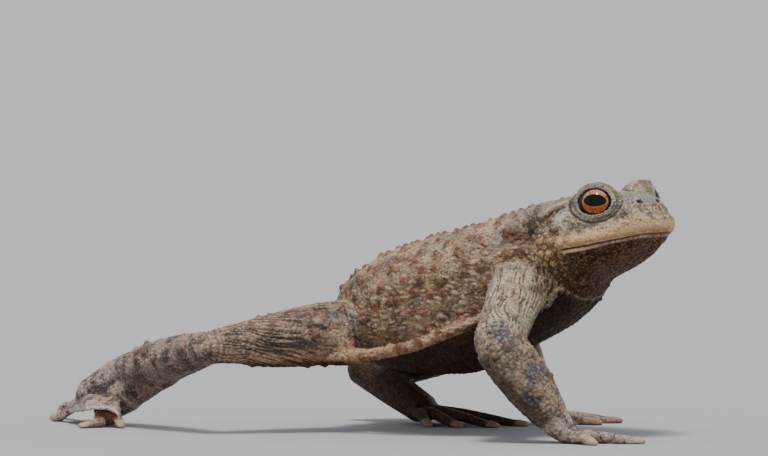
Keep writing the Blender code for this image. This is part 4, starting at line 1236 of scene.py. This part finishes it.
def skinMaterial():
    made, tree, shader = newMaterial("toadSkin")
    coords = addNode(tree, "ShaderNodeTexCoord").outputs["Object"]
    wart, tip, relief, grainTop = channels(tree, "skinRelief")
    big, fold, digit, tipPale = channels(tree, "skinWart")
    under, side, grooves, ridge = channels(tree, "skinZone")
    upperArm, forearm, thigh, shank = channels(tree, "skinLimb")
    lipMark, lidPale, earMark, nostril = channels(tree, "skinHead")
    glandMark, snoutMark, jaw, edge = channels(tree, "skinFace")
    lidDark, lidUpper, headMark, throatMark = channels(tree, "skinLid")
    dark, slate, pale, _ = channels(tree, "skinBlotch")
    lines, chest, lipShade, jawLow = channels(tree, "skinLines")
    sole, rim, web, far = channels(tree, "skinFoot")
    tone = skinTones
    grain, chance, chanceTwo = cells(tree, coords, 0.62)
    fine, fineChance, _ = cells(tree, coords, 0.3)

    def part(strength, share):
        return calc(tree, "MULTIPLY", strength, share)

    def plus(first, second):
        return calc(tree, "ADD", first, second)

    def outside(mark, start=1.0):
        return calc(tree, "SUBTRACT", start, mark, True)

    def over(base, mark, colour, strength=1.0, blend="MIX"):
        return mixColour(tree, mark if strength == 1.0 else part(mark, strength), base, colour, blend)

    def mottled(first, second, size, low=0.42, high=0.6, detail=4.0):
        return mixColour(tree, patches(tree, coords, size, detail, low, high), tone[first], tone[second])

    # the ground colour of each part of the body
    base = mottled("backTan", "backPale", 6.0, 0.36, 0.56)
    base = over(base, grainTop, tone["backGrain"], 0.35)
    flank = mottled("flankDark", "flankPale", 3.0, 0.42, 0.6)
    flank = over(flank, ranged(tree, grainTop, 0.4, 0.95), tone["flankGrain"], 0.55)
    base = over(base, side, flank)
    base = over(base, headMark, mottled("headPale", "headOlive", 1.5, 0.46, 0.58))
    base = over(base, upperArm, mottled("armPale", "armTan", 3.2, 0.48, 0.64))
    base = over(base, chest, mottled("chest", "armTan", 2.4, 0.45, 0.6))
    base = over(base, forearm, mottled("foreTan", "foreDark", 2.6, 0.46, 0.6))
    base = over(base, thigh, mottled("thighTan", "thighDark", 3.6, 0.48, 0.62))
    base = over(base, shank, mottled("shankTan", "shankDark", 2.8, 0.46, 0.58))
    base = over(base, digit, mottled("digit", "digitDark", 2.0, 0.47, 0.6))
    # the far hand and foot darker and redder: partly their own tone, partly painted shade
    base = over(base, far, tone["farDigitRedAndShade"], 0.6)
    # single grains differ, some dusky and some pink
    base = over(base, ranged(tree, chance, 0.7, 0.85), tone["grainDark"], 0.55)
    base = over(base, ranged(tree, chanceTwo, 0.72, 0.9), tone["grainPink"], 0.4)
    base = over(base, web, tone["web"], 0.8)
    base = over(base, slate, tone["slate"], 0.9)
    base = over(base, patches(tree, coords, 4.0, 4.0, 0.6, 0.66), tone["slate"], 0.55)
    base = over(base, dark, tone["dark"], 0.9)
    base = over(base, pale, tone["pale"], 0.85)
    # the dark underside: the throat's own tone, and on the belly and the far legs' inner faces partly own
    # tone, partly painted shade
    bellyTone = over(tone["belly"], patches(tree, coords, 1.0, 3.0, 0.46, 0.68), tone["bellySpeck"], 0.6)
    throatGrain = ranged(tree, plus(part(chance, 0.5), part(fineChance, 0.5)), 0.45, 0.8)
    throatTone = over(tone["throat"], throatGrain, tone["throatSpeck"])
    base = over(base, under, over(bellyTone, throatMark, throatTone))
    base = over(base, fold, mottled("fold", "foldDark", 1.5, 0.46, 0.62), 0.85)
    # the sole's dark red: partly own tone, partly painted shade
    base = over(base, sole, tone["sole"], 0.9)
    base = over(base, rim, tone["webRim"], 0.85)
    # the face
    base = over(base, snoutMark, tone["snout"], 0.75)
    base = over(base, glandMark, mottled("gland", "grainDark", 1.6, 0.5, 0.64), 0.8)
    base = over(base, jawLow, tone["tuberclePale"], 0.35)
    tubercle = over(tone["tuberclePale"], ranged(tree, chance, 0.3, 0.7), tone["tubercle"])
    base = over(base, part(jaw, wart), tubercle, 0.9)
    base = over(base, lipMark, mottled("lip", "lowerLip", 2.0, 0.5, 0.66), 0.95)
    base = over(base, lipShade, mottled("lipOrange", "lip", 1.8, 0.5, 0.68), 0.9)
    # painted shade along the mouth's groove
    base = over(base, edge, tone["mouthGrooveShade"])
    base = over(base, earMark, tone["ear"], 0.9)
    base = over(base, ridge, tone["ridge"], 0.8)
    # painted shade in the grooves behind the ear
    base = over(base, grooves, tone["dark"], 0.45)
    base = over(base, lidUpper, mottled("lidOlive", "headOlive", 1.2))
    base = over(base, lidPale, mottled("lidRing", "lidRingDark", 1.3, 0.52, 0.7), 0.95)
    # the lids' dark bands: partly dark skin, partly painted shade in the crease
    base = over(base, lidDark, tone["lidDark"], 0.85)
    # warts, redder or browner, with dark horny tips
    wartTone = mottled("wart", "wartRed", 3.0, 0.44, 0.58, 2.0)
    lit = outside(under)
    offLips = outside(part(lipMark, 0.6))
    limb = part(plus(plus(forearm, thigh), plus(shank, upperArm)), 0.7)
    shown = part(part(lit, outside(jaw)), outside(limb))
    base = over(base, part(big, shown), wartTone, 0.95)
    base = over(base, part(outside(big, wart), shown), wartTone, 0.35)
    base = over(base, part(tip, shown), tone["wartTip"], 0.6)
    # painted shade in the wrinkle lines, the pits between grains and the crevices, a painted highlight on the
    # grains' tops, and the skin's own fine dark specks
    pits = part(ranged(tree, grain, 0.34, 0.74, 0.0, 0.45), offLips)
    specks = part(patches(tree, coords, 0.5, 2.0, 0.58, 0.66), offLips)
    # painted highlight: the grains' tops lightened where they stand off the dark underside
    paintedGlint = part(part(ranged(tree, relief, 0.56, 0.9, 0.0, 0.28), lit), outside(wart))
    # painted shade in the troughs between the wrinkles
    base = over(base, lines, tone["lineShade"], 0.85, "MULTIPLY")
    # painted shade in the gaps between the grains
    base = over(base, pits, tone["pitShade"], blend="MULTIPLY")
    # painted shade in the skin's crevices, from how far each point lies below the skin round it
    base = over(base, ranged(tree, relief, 0.46, 0.12, 0.0, 0.75), tone["creviceShade"], blend="MULTIPLY")
    base = over(base, paintedGlint, tone["paintedGlint"], blend="SCREEN")
    base = over(base, specks, tone["speckShade"], 0.8, "MULTIPLY")
    base = over(base, tipPale, over(tone["digitTip"], far, tone["farDigitRedAndShade"]), 0.7)
    # painted shade in the nostrils' hollows
    base = over(base, nostril, tone["nostril"])
    tree.links.new(base, shader.inputs["Base Color"])
    # moist but not wet
    tree.links.new(ranged(tree, grain, 0.1, 0.6, 0.38, 0.66), shader.inputs["Roughness"])
    tree.links.new(ranged(tree, under, 0.0, 1.0, 0.42, 0.12), shader.inputs["Specular IOR Level"])
    bump = addNode(tree, "ShaderNodeBump")
    bump.inputs["Strength"].default_value = 0.9
    bump.inputs["Distance"].default_value = 0.17 * mm
    height = plus(ranged(tree, grain, 0.0, 0.8, 1.0, 0.0), part(fine, -0.4))
    tree.links.new(height, bump.inputs["Height"])
    tree.links.new(bump.outputs[0], shader.inputs["Normal"])
    return made


skin.data.materials.clear()
skin.data.materials.append(skinMaterial())
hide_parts(*fleshNames)
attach(skin, "root")
print("skin finished")


# The eyes: a wet ball with a level pupil in a copper iris

eyes = {
    "radius": 3.98,
    "bulge": 0.3,                 # of the cornea
    "irisRadius": 3.0,            # of the cornea's bulge
    "iris": (2.62, 2.36),         # half length and half height of its copper
    "pupil": (2.2, 1.15),         # half length, half height
    "pupilRise": 0.1,             # how far over the middle it sits
    "rings": 72,
}
eyeTones = {
    "pupil": (0.002, 0.002, 0.003), "dark": (0.004, 0.004, 0.005),
    # upper: the copper lightened by a painted reflection
    "copper": (0.5, 0.1, 0.012), "upper": (0.56, 0.24, 0.13), "vein": (0.1, 0.02, 0.005),
    "gold": (0.6, 0.26, 0.07),
}


def eyeBall(side):
    bm = bmesh.new()
    rings = eyes["rings"]
    bmesh.ops.create_uvsphere(bm, u_segments=rings * 2, v_segments=rings, radius=eyes["radius"] * mm)
    mesh = bpy.data.meshes.new("eye")
    bm.to_mesh(mesh)
    bm.free()
    local = readPoints(mesh) / mm
    flat = np.hypot(local[:, 0], local[:, 1])
    front = (local[:, 2] > 0) * smoothstep(eyes["irisRadius"] + 0.4, 0.0, flat)
    face = local / eyes["irisRadius"]
    grown = local * (1 + front * eyes["bulge"] / eyes["radius"])[:, None]
    turned = grown @ np.array(eyeTurn(side, "pupilLook")).T * mm
    name = "eye_left" if side > 0 else "eye_right"
    writePoints(mesh, turned + np.array(middleOf(name)))
    layer = mesh.attributes.new("eyeFace", "FLOAT_VECTOR", "POINT")
    layer.data.foreach_set("vector", face.astype(np.float32).ravel())
    mesh.shade_smooth()
    made = bpy.data.objects.new("eyeball_left" if side > 0 else "eyeball_right", mesh)
    scene.collection.objects.link(made)
    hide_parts(name)
    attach(made, "root")
    return made


def eyeMaterial():
    made, tree, shader = newMaterial("toadEye")
    face = addNode(tree, "ShaderNodeAttribute", attribute_name="eyeFace")
    split = addNode(tree, "ShaderNodeSeparateXYZ")
    tree.links.new(face.outputs["Vector"], split.inputs[0])
    x, y, z = split.outputs

    def oval(halves, lift=0.0):
        # 1 on the edge of an oval, less inside it
        long, high = (half / eyes["irisRadius"] for half in halves)
        level = calc(tree, "SUBTRACT", y, lift / eyes["irisRadius"])
        return lengthOf(tree, calc(tree, "DIVIDE", x, long), calc(tree, "DIVIDE", level, high))

    pupil = oval(eyes["pupil"], eyes["pupilRise"])
    # veins run outwards: noise on the angle, drawn out along the radius
    angle = calc(tree, "ARCTAN2", y, x)
    flow = addNode(tree, "ShaderNodeCombineXYZ")
    outwards = (calc(tree, "SINE", angle), calc(tree, "COSINE", angle), lengthOf(tree, x, y))
    for socket, value in zip(flow.inputs, outwards):
        tree.links.new(value, socket)
    veins = addNode(tree, "ShaderNodeTexNoise")
    tree.links.new(flow.outputs[0], veins.inputs["Vector"])
    veins.inputs["Scale"].default_value = 2.6
    veins.inputs["Detail"].default_value = 6.0
    # painted reflection: the iris paler and pinker towards its top
    tone = mixColour(tree, ranged(tree, y, -0.2, 0.75), eyeTones["copper"], eyeTones["upper"])
    netted = calc(tree, "ABSOLUTE", calc(tree, "SUBTRACT", veins.outputs["Fac"], 0.5))
    tone = mixColour(tree, ranged(tree, netted, 0.045, 0.01, 0.0, 0.85), tone, eyeTones["vein"])
    gold = calc(tree, "MULTIPLY", ranged(tree, pupil, 1.22, 1.06), ranged(tree, pupil, 1.0, 1.06))
    tone = mixColour(tree, calc(tree, "MULTIPLY", gold, 0.5), tone, eyeTones["gold"])
    tone = mixColour(tree, ranged(tree, pupil, 1.06, 0.98), tone, eyeTones["pupil"])
    tone = mixColour(tree, ranged(tree, oval(eyes["iris"]), 0.94, 1.03), tone, eyeTones["dark"])
    tone = mixColour(tree, ranged(tree, z, 0.1, -0.1), tone, eyeTones["dark"])
    tree.links.new(tone, shader.inputs["Base Color"])
    shader.inputs["Roughness"].default_value = 0.3
    shader.inputs["Coat Weight"].default_value = 1.0
    shader.inputs["Coat Roughness"].default_value = 0.03
    shader.inputs["Coat IOR"].default_value = 1.33
    shader.inputs["Specular IOR Level"].default_value = 0.0
    return made


wetEye = eyeMaterial()
for side in (1, -1):
    eyeBall(side).data.materials.append(wetEye)
print("eyes in place")


# Floor, light and camera

studio = {
    "floorSize": 30.0,            # metres
    "floorTone": (0.45, 0.445, 0.455),
    "skyTone": (0.88, 0.92, 1.0),
    "skyStrength": 0.72,
    "sunTurn": (14.0, 20.0),      # how far it leans from overhead, and towards which side
    "sunSpread": 14.0,
    "sunStrength": 2.7,
    "sunTone": (1.0, 0.965, 0.92),
}
view = {
    "azimuth": 27.0,
    "elevation": 2.55,
    "distance": 1.8,              # metres
    "lens": 422.0,
    "lookAt": (7.0, 3.5, 39.95),  # in the toad's own frame
}


def layFloor():
    bm = bmesh.new()
    bmesh.ops.create_grid(bm, x_segments=1, y_segments=1, size=studio["floorSize"] / 2)
    made = newObject("floor", bm)
    material, tree, shader = newMaterial("paleFloor")
    shader.inputs["Base Color"].default_value = (*studio["floorTone"], 1.0)
    shader.inputs["Roughness"].default_value = 0.85
    shader.inputs["Specular IOR Level"].default_value = 0.2
    made.data.materials.append(material)


def softSun():
    lamp = bpy.data.lights.new("softSun", "SUN")
    lamp.energy = studio["sunStrength"]
    lamp.angle = math.radians(studio["sunSpread"])
    lamp.color = studio["sunTone"]
    made = bpy.data.objects.new("softSun", lamp)
    lean, side = studio["sunTurn"]
    made.rotation_euler = (math.radians(lean), 0, math.radians(side))
    scene.collection.objects.link(made)


def lightStudio():
    sky = bpy.data.worlds.new("sky")
    sky.use_nodes = True
    background = sky.node_tree.nodes["Background"]
    background.inputs["Color"].default_value = (*studio["skyTone"], 1.0)
    background.inputs["Strength"].default_value = studio["skyStrength"]
    scene.world = sky
    softSun()


def placeCamera():
    azimuth, elevation = math.radians(view["azimuth"]), math.radians(view["elevation"])
    back = Vector((
        math.sin(azimuth) * math.cos(elevation),
        -math.cos(azimuth) * math.cos(elevation),
        math.sin(elevation),
    ))
    lens = bpy.data.cameras.new("camera")
    lens.lens = view["lens"]
    lens.clip_end = 100.0
    made = bpy.data.objects.new("camera", lens)
    made.location = toadOrigin + Vector(view["lookAt"]) * mm + back * view["distance"]
    made.rotation_euler = back.to_track_quat("Z", "Y").to_euler()
    scene.collection.objects.link(made)
    scene.camera = made


layFloor()
lightStudio()
placeCamera()
print("studio set")
